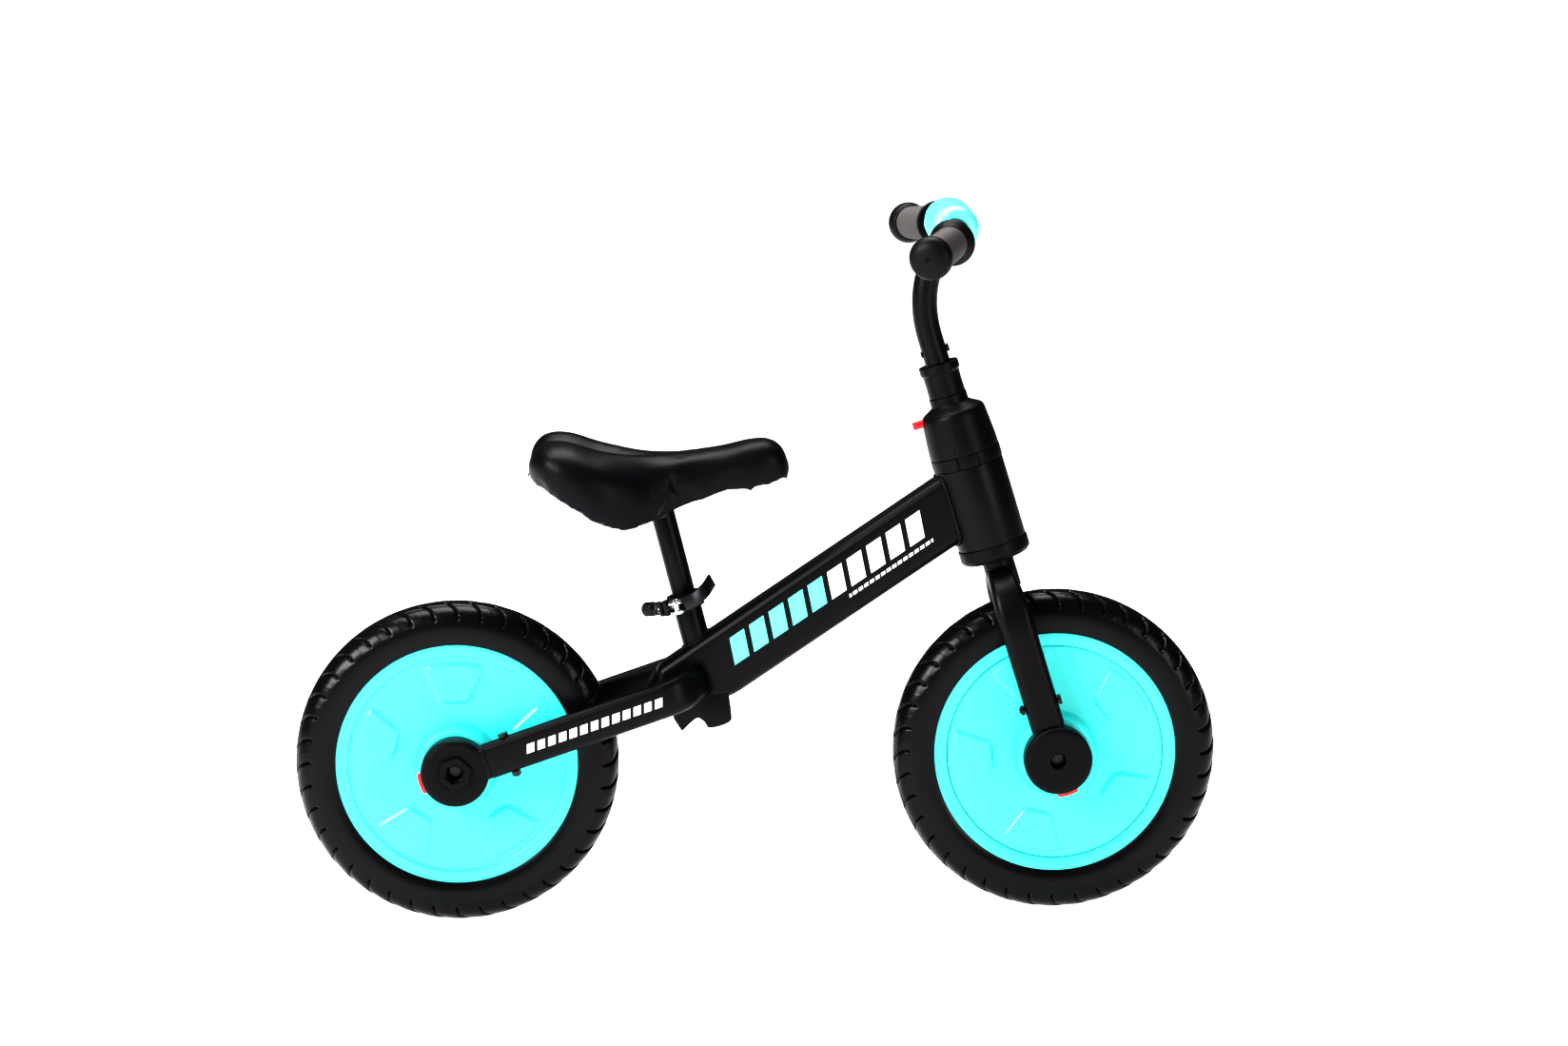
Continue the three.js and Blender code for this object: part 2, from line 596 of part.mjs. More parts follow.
const shoulderZ = COVER_Z + COVER_H;
const neckZ = shoulderZ + SHOULDER_H;
const coverProfile = [
  [COVER_R, COVER_Z], [COVER_TOP_R, shoulderZ], [COVER_TOP_R - 1.8, shoulderZ + 3], [NECK_R + 1.5, neckZ],
  [NECK_R, neckZ + 1], [NECK_R, NECK_TOP], [STEERER_R + GAP, NECK_TOP], [STEERER_R + GAP, neckZ - 4],
  [COVER_TOP_R - COVER_WALL - 2, shoulderZ - 1], [COVER_R - COVER_WALL, COVER_Z], [COVER_R, COVER_Z],
];
const buttonZ = shoulderZ - 1.5;
const buttonOut = -COVER_TOP_R - BUTTON_PROUD;
const buttonHoleZ = [buttonZ - BUTTON_H / 2 - GAP, buttonZ + BUTTON_H / 2 + GAP];
const buttonHole = box(
  buttonOut, buttonOut + BUTTON_LENGTH + BUTTON_TRAVEL + 4,
  -BUTTON_W / 2 - GAP, BUTTON_W / 2 + GAP, ...buttonHoleZ);
piece(steering, 'top_cover', cut(turnedZ(coverProfile), buttonHole), plastic);
const button = box(
  buttonOut, buttonOut + BUTTON_LENGTH, -BUTTON_W / 2, BUTTON_W / 2,
  buttonZ - BUTTON_H / 2, buttonZ + BUTTON_H / 2);
piece(steering, 'stem_button', button, red);

const collarBore = STEM_R + RUN_GAP;
const collarTop = COLLAR_Z + COLLAR_H + FLANGE_H;
const collarProfile = [
  [collarBore, COLLAR_Z], [COLLAR_R, COLLAR_Z], [COLLAR_R, COLLAR_Z + COLLAR_H],
  [FLANGE_R, COLLAR_Z + COLLAR_H + 1.5],
  [FLANGE_R, collarTop], [collarBore, collarTop], [collarBore, COLLAR_Z],
];
const notch = box(-40, 40, -NOTCH_W / 2, NOTCH_W / 2, collarTop - FLANGE_H + 3, collarTop + 5);
piece(steering, 'stem_collar', cut(turnedZ(collarProfile), notch), plastic);

// ---------------------------------------------------------------- handlebar
// Stem: straight down the steering axis, then an S bend forward to the bar.
const stemFoot = onSteeringAxis(COLLAR_Z - STEM_INSERT);
const stemBend = onSteeringAxis(STEM_STRAIGHT);
const stemCurve = () => {
  const path = new THREE.CurvePath();
  const lead = onSteeringAxis(STEM_STRAIGHT + STEM_LEAD);
  const barMid = new THREE.Vector3(BAR_X, 0, BAR_Z);
  const approach = new THREE.Vector3(BAR_X - BAR_APPROACH[0], 0, BAR_Z - BAR_APPROACH[1]);
  path.add(new THREE.LineCurve3(stemFoot, stemBend));
  path.add(new THREE.CubicBezierCurve3(stemBend, lead, approach, barMid));
  return path;
};

// Half of the bar from the middle outwards: flat, one bend, straight grip.
const gripDirection = (side) => new THREE.Vector3(
  -Math.tan(rad(GRIP_SWEEP)), side, -Math.tan(rad(GRIP_DROOP))).normalize();
const gripStart = (side) => new THREE.Vector3(BAR_X - GRIP_BACK, side * GRIP_START, BAR_Z - GRIP_DOWN);
const barReach = GRIP_L - 8;

function barPath() {
  const path = new THREE.CurvePath();
  const ends = [-1, 1].map((side) => gripStart(side).addScaledVector(gripDirection(side), barReach));
  const starts = [-1, 1].map((side) => gripStart(side).addScaledVector(gripDirection(side), -4));
  const flats = [-1, 1].map((side) => new THREE.Vector3(BAR_X, side * BAR_FLAT_HALF, BAR_Z));
  const lead = (side) => new THREE.Vector3(BAR_X, side * (BAR_FLAT_HALF + 20), BAR_Z);
  const out = (side) => gripStart(side).addScaledVector(gripDirection(side), -18);
  path.add(new THREE.LineCurve3(ends[0], starts[0]));
  path.add(new THREE.CubicBezierCurve3(starts[0], out(-1), lead(-1), flats[0]));
  path.add(new THREE.LineCurve3(flats[0], flats[1]));
  path.add(new THREE.CubicBezierCurve3(flats[1], lead(1), out(1), starts[1]));
  path.add(new THREE.LineCurve3(starts[1], ends[1]));
  return path;
}

const stemTube = swept(tubeOf(round(STEM_R), round(STEM_R - STEM_WALL)), stemCurve(), STEM_STEPS);
const barGrown = rod('y', BAR_R + GAP, -BAR_FLAT_HALF, BAR_FLAT_HALF);
const pinSpot = new THREE.Matrix4().multiplyMatrices(
  steering.matrixWorld, new THREE.Matrix4().makeTranslation(0, 0, PIN_AT));
const pinHole = moved(rod('x', PIN_R + GAP, -30, 30, 16), pinSpot);
piece(bike, 'stem_tube', cut(stemTube, at(barGrown, BAR_X, 0, BAR_Z), pinHole), paint);
const pinBody = join(
  rod('x', PIN_R, -STEM_R - 1.2, STEM_R + 1.2, 16), rod('x', PIN_R + 0.8, STEM_R + GAP, STEM_R + 2.4, 16));
piece(bike, 'stem_pin', moved(pinBody, pinSpot), blackSteel);
piece(bike, 'handlebar', swept(tubeOf(round(BAR_R), round(BAR_R - STEM_WALL)), barPath(), 20), paint);

// A grip: inner flange, slightly waisted body, and a closed domed end.
function grip(side) {
  const bore = BAR_R + GAP;
  const profile = [
    [bore, 0], [GRIP_FLANGE_R, 0], [GRIP_FLANGE_R, 3], [GRIP_R + 2, 8], [GRIP_R, 11], [GRIP_R, GRIP_L - 18],
    [GRIP_CAP_R - 0.6, GRIP_L - 14], [GRIP_CAP_R, GRIP_L - 10], [GRIP_CAP_R - 1.5, GRIP_L - 5],
    [GRIP_CAP_R - 6, GRIP_L - 1.2], [0, GRIP_L], [0, GRIP_L - 6], [bore, GRIP_L - 6], [bore, 0],
  ];
  const turn = new THREE.Matrix4().makeRotationFromQuaternion(
    new THREE.Quaternion().setFromUnitVectors(new THREE.Vector3(0, 1, 0), gripDirection(side)));
  turn.setPosition(gripStart(side));
  return moved(turnedY(profile, 24), turn);
}
piece(bike, 'grip_right', grip(-1), rubber);
piece(bike, 'grip_left', grip(1), rubber);

const padProfile = [
  [BAR_R + PAD_CLEAR, -PAD_HALF], [PAD_R - PAD_EDGE, -PAD_HALF], [PAD_R, -PAD_HALF + PAD_EDGE],
  [PAD_R, PAD_HALF - PAD_EDGE], [PAD_R - PAD_EDGE, PAD_HALF], [BAR_R + PAD_CLEAR, PAD_HALF],
  [BAR_R + PAD_CLEAR, -PAD_HALF],
];
const padBody = at(turnedY(padProfile, 24), BAR_X, 0, BAR_Z);
const stemClear = swept(round(STEM_R + PAD_CLEAR), stemCurve(), STEM_STEPS);
piece(bike, 'bar_pad', cut(padBody, stemClear), padding);

// ---------------------------------------------------------------- main tube
const headPoint = onSteeringAxis(MAIN_AT_HEAD);
const rise = Math.atan2(headPoint.z - MAIN_MID[1], headPoint.x - MAIN_MID[0]);
const along = (x, offset) => [
  x + offset * -Math.sin(rise),
  MAIN_MID[1] + (x - MAIN_MID[0]) * Math.tan(rise) + offset * Math.cos(rise),
];

function mainOutline(inset, frontX) {
  const half = MAIN_H / 2 - inset;
  const rearTop = along(MAIN_REAR_X + half * Math.sin(rise) + inset, half);
  const [front, back, tail] = BELLY;
  return [
    along(frontX, half), along(frontX, -half), [front[0], front[1] + inset],
    [back[0] + inset * 0.5, back[1] + inset], [tail[0] + inset, tail[1] + inset * 0.5], rearTop,
  ];
}

const headInRow = (body) => moved(body, steering.matrixWorld);
const seatInRow = (body) => moved(body, seat.matrixWorld);
const mainOuter = sidePlate(mainOutline(0, HALF_BASE), MAIN_W, MAIN_ROUND, 4);
const hollowOutline = mainOutline(MAIN_WALL, HALF_BASE + 20);
const hollow = sidePlate(hollowOutline, MAIN_W - 2 * MAIN_WALL, MAIN_ROUND - MAIN_WALL, 2);
const headClear = headInRow(rod('z', HEAD_R + GAP, 0, 500, 32));
const tubeClear = seatInRow(rod('z', SEAT_TUBE_R + GAP, SEAT_TUBE_FOOT - 2, 60, 28));
const aheadOfHead = headInRow(box(0, 300, -60, 60, -100, 600));
piece(bike, 'main_tube', cut(mainOuter, hollow, headClear, aheadOfHead, tubeClear), paint);

// Plug in the tube's rear end, with a short tongue standing out behind.
const plugMid = along(MAIN_REAR_X + 6, MAIN_H / 2 - PLUG_H / 2 - 2);
const plug = sidePlate([
  [plugMid[0] - PLUG_PROUD - 8, plugMid[1] - PLUG_H / 2 - 4], [plugMid[0] - 4, plugMid[1] - PLUG_H / 2 + 3],
  [plugMid[0] - 4, plugMid[1] + PLUG_H / 2 - 1], [plugMid[0] - PLUG_PROUD - 8, plugMid[1] + PLUG_H / 2 - 8],
], PLUG_W);
const mainGrown = sidePlate(mainOutline(-GAP, HALF_BASE), MAIN_W + 2 * GAP, MAIN_ROUND, 4);
piece(bike, 'tube_plug', cut(plug, mainGrown), plastic);

// Socket under the main tube that takes the pedal module.
const socketOutline = [
  [BELLY[0][0], BELLY[0][1] - GAP * 2], [-21, 180], [-25, 176.6], [-34, 173.6], [-42.7, 172.5], [-45, 177.5],
  [-50, 182], [-53, 182], [-59, 177], [-66, 170], [-74, 183], [BELLY[1][0], BELLY[1][1] - GAP * 2],
];
piece(bike, 'pedal_socket', cut(sidePlate(socketOutline, SOCKET_W), mainGrown), paint);

// --------------------------------------------------------------------- seat
const seatBore = POST_R + RUN_GAP;
piece(seat, 'seat_tube', ringZ(seatBore, SEAT_TUBE_R, SEAT_TUBE_FOOT, SEAT_TUBE_TOP, 28), paint);
const postBody = ringZ(POST_R - POST_WALL, POST_R, POST_FOOT, POST_TOP, 28);
const saddleBoltHole = at(rod('y', SADDLE_BOLT_R + GAP, -40, 40, 16), 0, 0, SADDLE_BOLT_AT);
piece(seat, 'seat_post', cut(postBody, saddleBoltHole), paint);

// Clamp: a split ring whose two ears are drawn together by the skewer. Its own
// frame is turned about the post, ears towards -Y and the skewer along X.
const clamp = place(seat, 0, 0, CLAMP_AT);
clamp.rotation.z = rad(CLAMP_TURN);
clamp.updateWorldMatrix(true, false);
const clampIn = SEAT_TUBE_R + GAP;
const clampHalf = CLAMP_H / 2;
const earFace = EAR_SLIT / 2 + EAR_T;
const earsBlock = box(-earFace, earFace, SKEWER_Y - EAR_END, -6, -clampHalf, clampHalf);
const slit = box(-EAR_SLIT / 2, EAR_SLIT / 2, SKEWER_Y - 2 * EAR_END, 0, -CLAMP_H, CLAMP_H);
const skewerHole = at(rod('x', SKEWER_R + GAP, -60, 20, 16), 0, SKEWER_Y, 0);
const clampBody = cut(
  join(ringZ(clampIn, clampIn + CLAMP_WALL, -clampHalf, clampHalf, 28), earsBlock),
  slit, rod('z', clampIn, -CLAMP_H, CLAMP_H, 28), skewerHole);
piece(clamp, 'seat_clamp', clampBody, blackSteel);

const camX = earFace + GAP + CAM_R;
const nutIn = -earFace - GAP;
const nutOut = nutIn - SKEWER_NUT_L;
const skewer = join(
  rod('x', SKEWER_R, nutOut - 1.5, camX, 16),
  at(rod('z', CAM_PIN_R, -clampHalf + 0.5, clampHalf - 0.5, 20), camX, 0, 0));
piece(clamp, 'clamp_skewer', at(skewer, 0, SKEWER_Y, 0), steel);
const skewerNut = cut(
  join(rod('x', 5.2, nutIn - 5, nutIn, 20), rod('x', 6.2, nutIn - 12, nutIn - 4, 6),
    rod('x', 6, nutOut, nutIn - 11, 20)),
  rod('x', SKEWER_R + GAP, nutOut - 5, nutIn + 5, 16));
piece(clamp, 'clamp_nut', at(skewerNut, 0, SKEWER_Y, 0), blackSteel);

// Lever: a cam head on the skewer's pin, and a strap that curls round the tube.
const strap = new THREE.CatmullRomCurve3([
  new THREE.Vector3(camX + 4, SKEWER_Y + 3, 0), new THREE.Vector3(camX + 11, SKEWER_Y + 13, 2.5),
  new THREE.Vector3(camX + 14, SKEWER_Y + 25, 6.5), new THREE.Vector3(camX + 12, SKEWER_Y + 38, 11),
]);
const strapShape = new THREE.Shape([
  new THREE.Vector2(-LEVER_W / 2, -LEVER_T / 2), new THREE.Vector2(LEVER_W / 2, -LEVER_T / 2),
  new THREE.Vector2(LEVER_W / 2, LEVER_T / 2), new THREE.Vector2(-LEVER_W / 2, LEVER_T / 2),
]);
const camHead = at(rod('z', CAM_R, -clampHalf, clampHalf, 28), camX, SKEWER_Y, 0);
const camBore = at(rod('z', CAM_PIN_R + RUN_GAP, -20, 20, 20), camX, SKEWER_Y, 0);
const swing = SKEWER_R + RUN_GAP;
const camSlot = box(
  camX - 2 * CAM_R, camX + CAM_PIN_R + 2, SKEWER_Y - 2 * CAM_R, SKEWER_Y + 2 * CAM_R, -swing, swing);
const leverBody = cut(join(camHead, swept(strapShape, strap, 12)), camBore, camSlot);
piece(clamp, 'clamp_lever', leverBody, blackSteel);

// ------------------------------------------------------------------- saddle
// Side outline (x, z) and half plan (x, half width), in the row frame.
const SADDLE_TOP = [
  [-197, 405], [-190, 423], [-178, 432], [-158, 431], [-132, 424], [-100, 419], [-65, 417],
  [-30, 421], [0, 428], [14, 429], [24, 423], [29, 409], [29, 397],
];
const SADDLE_UNDER = [
  [12, 393], [-12, 387], [-40, 381], [-66, 373], [-90, 362], [-113, 358], [-132, 363],
  [-155, 378], [-182, 396],
];
const SADDLE_PLAN = [
  [-197, 30], [-190, 52], [-175, 66], [-155, 71], [-130, 68], [-108, 58], [-88, 42], [-62, 31],
  [-20, 26], [8, 23], [22, 17], [29, 8],
];

function planBlock(inset, low, high) {
  const ends = [SADDLE_PLAN[0][0], SADDLE_PLAN[SADDLE_PLAN.length - 1][0]];
  const middle = (ends[0] + ends[1]) / 2;
  const shrink = 1 - (2 * inset) / (ends[1] - ends[0]);
  const half = SADDLE_PLAN.map(([x, w]) => [middle + (x - middle) * shrink, w - inset]);
  const kept = half.filter(([, w]) => w > 0);
  const outline = [...kept, ...kept.map(([x, w]) => [x, -w]).reverse()];
  const shape = new THREE.Shape(outline.map(([x, y]) => new THREE.Vector2(x, y)));
  const geometry = new THREE.ExtrudeGeometry(shape, { depth: high - low, bevelEnabled: false });
  return solid(geometry.translate(0, 0, low));
}

const cushionSide = sidePlate([...SADDLE_TOP, ...SADDLE_UNDER], 160);
const cavityTop = [[-188, 402], [-120, 396], [-40, 398], [22, 408]];
const cavity = planBlock(SADDLE_RIM, 300, 450).intersect(
  sidePlate([...cavityTop, [60, 408], [60, 300], [-230, 300], [-230, 402]], 200));
const cushion = cut(cushionSide.intersect(planBlock(0, 300, 500)), cavity);
piece(bike, 'saddle_cushion', cushion, leather);

const plateTop = cavityTop.map(([x, z]) => [x, z - GAP]);
const plateUnder = cavityTop.map(([x, z]) => [x, z - GAP - BASE_T]).reverse();
const basePlate = planBlock(SADDLE_RIM + GAP, 300, 450).intersect(
  sidePlate([...plateTop, ...plateUnder], 200));
const bossFoot = 26;
const boss = seatInRow(rod('z', SADDLE_BOSS_R, bossFoot, POST_TOP + 14, 28));
const underPlate = sidePlate([...plateTop, [60, 407.7], [60, 300], [-230, 300], [-230, 401.7]], 200);
const postClear = seatInRow(rod('z', POST_R + GAP, bossFoot - 5, POST_TOP + GAP, 28));
const saddleBase = cut(
  join(basePlate, boss.intersect(underPlate)), postClear, seatInRow(saddleBoltHole));
piece(bike, 'saddle_base', saddleBase, plastic);

const boltReach = SADDLE_BOSS_R + GAP;
const saddleBolt = join(
  rod('y', SADDLE_BOLT_R, -boltReach - 1, boltReach + 2.5, 16),
  rod('y', 5.2, -boltReach - 4, -boltReach, 16));
piece(seat, 'saddle_bolt', at(saddleBolt, 0, 0, SADDLE_BOLT_AT), blackSteel);

export default bike;
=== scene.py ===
# %% [markdown]
# # A child's balance bike, dressed around its working model
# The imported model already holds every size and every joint. This lesson gives each piece the
# surface that one would see and touch: moulded discs, foam tyres, satin tubes, a soft saddle.
# Shapes are worked out in millimetres on the piece's own axes and put in place in metres, so a
# number here can be checked against the same number on the real part.

# %% Load the working model
import json
import math

import bmesh
import bpy
import numpy as np
from mathutils import Matrix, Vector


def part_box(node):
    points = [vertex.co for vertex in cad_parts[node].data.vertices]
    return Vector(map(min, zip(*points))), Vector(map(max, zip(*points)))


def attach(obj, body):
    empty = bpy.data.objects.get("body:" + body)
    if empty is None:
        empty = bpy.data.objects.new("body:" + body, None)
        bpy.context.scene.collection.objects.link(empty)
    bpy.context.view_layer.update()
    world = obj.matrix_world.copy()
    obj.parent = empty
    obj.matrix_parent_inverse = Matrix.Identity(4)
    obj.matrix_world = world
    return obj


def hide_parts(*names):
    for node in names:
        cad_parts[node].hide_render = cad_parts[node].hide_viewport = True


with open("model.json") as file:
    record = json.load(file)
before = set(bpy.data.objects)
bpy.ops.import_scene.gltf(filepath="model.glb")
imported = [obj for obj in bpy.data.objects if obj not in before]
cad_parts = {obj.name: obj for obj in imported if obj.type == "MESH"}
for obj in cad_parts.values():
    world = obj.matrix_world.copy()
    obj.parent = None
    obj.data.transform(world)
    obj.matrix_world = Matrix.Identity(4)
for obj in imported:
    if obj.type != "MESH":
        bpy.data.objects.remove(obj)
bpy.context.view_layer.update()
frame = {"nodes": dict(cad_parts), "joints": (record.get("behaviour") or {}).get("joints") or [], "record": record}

print("pieces in the working model:", len(frame["nodes"]))

# %% [markdown]
# ## Axes to work on
# Every part of a bike is easiest to describe on its own axes: a wheel about its axle, a fork
# blade along its length, the saddle post along its lean. The working model's joints say where
# those axes stand. One could type the angles in again, but reading them from the joints keeps
# the surfaces and the mechanism together if a size is ever changed.

# %% Axes taken from the joints
TO_MM = 1000.0
joint = {j["name"]: j for j in frame["joints"]}
record = frame["record"]
body_of = {n: b for b, nodes in record["behaviour"]["bodies"].items() for n in nodes}
slot_of = {p["node"]: p["material_slot"] for p in record["subparts"]}


def spot(x, z, lean=0.0):
    """Axes standing at (x, 0, z) mm and leaning about Y by that angle, as a 4 x 4 matrix."""
    c, s = math.cos(lean), math.sin(lean)
    return np.array([[c, 0, s, x], [0, 1, 0, 0], [-s, 0, c, z], [0, 0, 0, 1.0]])


def hinge_point(name):
    """The x and z of a joint's point, in mm."""
    x, _, z = joint[name]["pos_m"]
    return x * TO_MM, z * TO_MM


def lean_of(name):
    """How far a joint's axis leans about Y from straight up, in radians."""
    return math.atan2(joint[name]["axis"][0], joint[name]["axis"][2])


ROW = np.eye(4)
HEAD_LEAN = lean_of("steering")
SEAT_LEAN = lean_of("seat_height")
STAY_LEAN = lean_of("rear_release_right_press") - math.pi / 2
FRONT_WHEEL = spot(*hinge_point("front_wheel_spin"))
REAR_WHEEL = spot(*hinge_point("rear_wheel_spin"))
STEERING = spot(*hinge_point("steering"), HEAD_LEAN)
FORK_ARM = spot(*hinge_point("front_wheel_spin"), HEAD_LEAN - math.pi / 2)
REAR_ARM = spot(*hinge_point("rear_wheel_spin"), STAY_LEAN)
seat_tube_low, seat_tube_high = (np.array(corner) * TO_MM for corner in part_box("seat_tube"))
SEAT_TUBE_MIDDLE = -83
seat_centre = (seat_tube_low + seat_tube_high) / 2
seat_along = np.array([math.sin(SEAT_LEAN), 0, math.cos(SEAT_LEAN)])
seat_origin = seat_centre - SEAT_TUBE_MIDDLE * seat_along
SEAT = spot(seat_origin[0], seat_origin[2], SEAT_LEAN)
print("steering leans", round(math.degrees(HEAD_LEAN), 1), "degrees, stays rise",
      round(-math.degrees(STAY_LEAN), 1))

# %% [markdown]
# ## A maker's kit of surfaces
# Nearly everything on a bike is turned, drawn into tube, or moulded with softened edges. So four
# ways of making a surface cover it: a profile turned about an axis, a section carried along a
# path, a plate with rounded sides, and a line smoothed through points. Each is a grid of points
# worked out all at once, which is quicker and cleaner than pushing single points about.

# %% Lines: softened corners, smooth curves, bends
def soften(points, cut, steps=4, closed=False):
    """A line with its corners rounded. A corner p becomes (1-t)^2 a + 2t(1-t) p + t^2 b, where
    a and b lie a cut's length back along its two edges, and never past 0.48 of an edge."""
    p = np.asarray(points, float)
    edges = [np.roll(p, 1, 0) - p, np.roll(p, -1, 0) - p]
    cuts = np.broadcast_to(np.asarray(cut, float), len(p))[:, None]
    sizes = [np.linalg.norm(e, axis=1, keepdims=True) + 1e-9 for e in edges]
    a, b = [p + e / s * np.minimum(cuts, 0.48 * s) for e, s in zip(edges, sizes)]
    t = np.linspace(0, 1, steps + 1)[None, :, None]
    curve = (1 - t) ** 2 * a[:, None] + 2 * t * (1 - t) * p[:, None] + t ** 2 * b[:, None]
    if closed:
        return curve.reshape(-1, p.shape[1])
    return np.vstack([p[:1], curve[1:-1].reshape(-1, p.shape[1]), p[-1:]])


def evenly(points, count):
    """The same line with that many points, equal lengths apart."""
    far = np.r_[0, np.cumsum(np.linalg.norm(np.diff(points, axis=0), axis=1))]
    wanted = np.linspace(0, far[-1], count)
    return np.stack([np.interp(wanted, far, column) for column in points.T], -1)


def through(knots, count, dense=400):
    """A smooth line through the knots: between b and c it is the Catmull-Rom cubic of a, b, c, d,
    then it is spaced evenly."""
    k = np.asarray(knots, float)
    k = np.vstack([2 * k[0] - k[1], k, 2 * k[-1] - k[-2]])
    t = np.linspace(0, len(k) - 3, dense)
    i = np.minimum(t.astype(int), len(k) - 4)
    f = (t - i)[:, None]
    a, b, c, d = k[i], k[i + 1], k[i + 2], k[i + 3]
    line = b + 0.5 * f * (c - a + f * (2 * a - 5 * b + 4 * c - d + f * (3 * b - a - 3 * c + d)))
    return evenly(line, count)


def straight(a, b, count=2):
    """Points from a to b."""
    return np.linspace(a, b, count)


def bend(a, b, c, d, count=24):
    """The cubic Bezier curve that leaves a towards b and reaches d from c."""
    t = np.linspace(0, 1, count)[:, None]
    a, b, c, d = (np.asarray(p, float) for p in (a, b, c, d))
    u = 1 - t
    return u ** 3 * a + 3 * u * u * t * b + 3 * u * t * t * c + t ** 3 * d


def route(*stretches):
    """Stretches joined end to end, with each shared point kept once."""
    return np.vstack([stretches[0]] + [s[1:] for s in stretches[1:]])


print("a softened square has", len(soften([[0, 0], [1, 0], [1, 1], [0, 1]], 0.2, closed=True)), "points")

# %% Grids: turned, carried and plate surfaces
def grid_faces(rows, columns, rows_meet=False, columns_meet=True):
    """The four-sided faces of a grid of points, numbered row by row."""
    i = np.arange(rows if rows_meet else rows - 1)[:, None]
    j = np.arange(columns if columns_meet else columns - 1)[None, :]
    below, right = (i + 1) % rows, (j + 1) % columns
    corners = [i * columns + j, i * columns + right, below * columns + right, below * columns + j]
    return np.stack(np.broadcast_arrays(*corners), -1).reshape(-1, 4)


def turned(profile, axis="z", around=96, closed=True, reshape=None):
    """A profile of (radius r, height h) turned through angle a: r cos a and r sin a on the two
    other axes, h along the axis. reshape(r, h, a) may move the points, as a groove does."""
    r, h = np.asarray(profile, float).T
    a = np.linspace(0, 2 * np.pi, around, endpoint=False)
    r, h, a = np.broadcast_arrays(r[:, None], h[:, None], a[None, :])
    if reshape:
        r, h = reshape(r.copy(), h.copy(), a)
    order = {"z": (0, 1, 2), "y": (0, 2, 1), "x": (2, 0, 1)}[axis]
    values = (r * np.cos(a), r * np.sin(a), h)
    points = np.stack([values[k] for k in order], -1).reshape(-1, 3)
    return points, [grid_faces(len(profile), around, rows_meet=closed)]


def carried(section, path, up=(0, 0, 1), scale=None, ring=False):
    """A closed section (across, upward) carried along a path. At each point, across is up x the
    path's direction and upward is the direction x across; scale shrinks the section there."""
    path = np.asarray(path, float)
    ahead = np.gradient(path, axis=0)
    if ring:
        ahead = np.roll(path, -1, 0) - np.roll(path, 1, 0)
    ahead /= np.linalg.norm(ahead, axis=1, keepdims=True)
    across = np.cross(np.broadcast_to(np.asarray(up, float), path.shape), ahead)
    across /= np.linalg.norm(across, axis=1, keepdims=True)
    upward = np.cross(ahead, across)
    size = np.ones((len(path), 2)) if scale is None else np.broadcast_to(scale, (len(path), 2))
    s = np.asarray(section, float)[None] * size[:, None]
    points = path[:, None] + s[..., :1] * across[:, None] + s[..., 1:] * upward[:, None]
    rows, columns = points.shape[:2]
    faces = [grid_faces(rows, columns, rows_meet=ring)]
    if not ring:
        faces += [np.arange(columns)[None], np.arange((rows - 1) * columns, rows * columns)[None]]
    return points.reshape(-1, 3), faces


def plate(outline, half_width, edge, corner, steps=6):
    """A side outline (x, z) given a width in y. The row at angle t round the edge lies
    edge (1 - cos t) inside the outline, at y = half_width - edge + edge sin t."""
    p = np.asarray(outline, float)
    ahead = np.roll(p, -1, 0) - p
    ahead /= np.linalg.norm(ahead, axis=1, keepdims=True)
    normal = np.stack([ahead[:, 1], -ahead[:, 0]], -1)
    x, z = p.T
    turns_left = np.sum(x * np.roll(z, -1) - z * np.roll(x, -1)) > 0
    normal = normal if turns_left else -normal
    mitre = normal + np.roll(normal, 1, 0)
    mitre /= np.sum(mitre * normal, axis=1, keepdims=True)
    quarter = np.linspace(0, np.pi / 2, steps)
    turn = np.r_[-quarter[::-1], quarter]
    rows = []
    for t in turn:
        inset = edge * (1 - math.cos(t))
        y = math.copysign(half_width - edge, t) + edge * math.sin(t)
        line = soften(p - mitre * inset, np.maximum(corner - inset, 0.3), closed=True)
        rows.append(np.insert(line, 1, y, axis=1))
    points = np.array(rows)
    n = points.shape[1]
    caps = [np.arange(n)[None], np.arange((len(turn) - 1) * n, len(turn) * n)[None]]
    return points.reshape(-1, 3), [grid_faces(len(turn), n)] + caps


def moved(shape, x=0.0, y=0.0, z=0.0):
    """The same shape at another place."""
    return shape[0] + np.array([x, y, z]), shape[1]


def circle(radius, count=32):
    """A round section."""
    a = np.linspace(0, 2 * np.pi, count, endpoint=False)
    return radius * np.stack([np.cos(a), np.sin(a)], -1)


def flat_oval(thick, tall, count=14):
    """A section with half-round ends: thick across, tall upward."""
    a = np.linspace(0, np.pi, count)
    end = np.stack([np.cos(a), np.sin(a)], -1) * thick / 2 + [0, (tall - thick) / 2]
    return np.vstack([end, -end])


def smoothstep(low, high, x):
    """0 below low, 1 above high, 3t^2 - 2t^3 between."""
    t = np.clip((x - low) / (high - low), 0, 1)
    return t * t * (3 - 2 * t)


print("one turned ring has", len(turned([[10, 0], [12, 0], [12, 3]])[0]), "points")

# %% [markdown]
# ## Putting a piece into the scene
# A surface becomes a piece when it has a mesh, a finish and something to ride on. Doing that in
# one place keeps every piece alike: seams merged, faces turned outwards, edges kept crisp where
# they turn sharply, and the working model's own solid hidden behind it.

# %% One function that makes a piece
pieces = {}


def put(points, where):
    """Points in mm on some axes, as metres in the row frame."""
    return (np.asarray(points) @ where[:3, :3].T + where[:3, 3]) / TO_MM


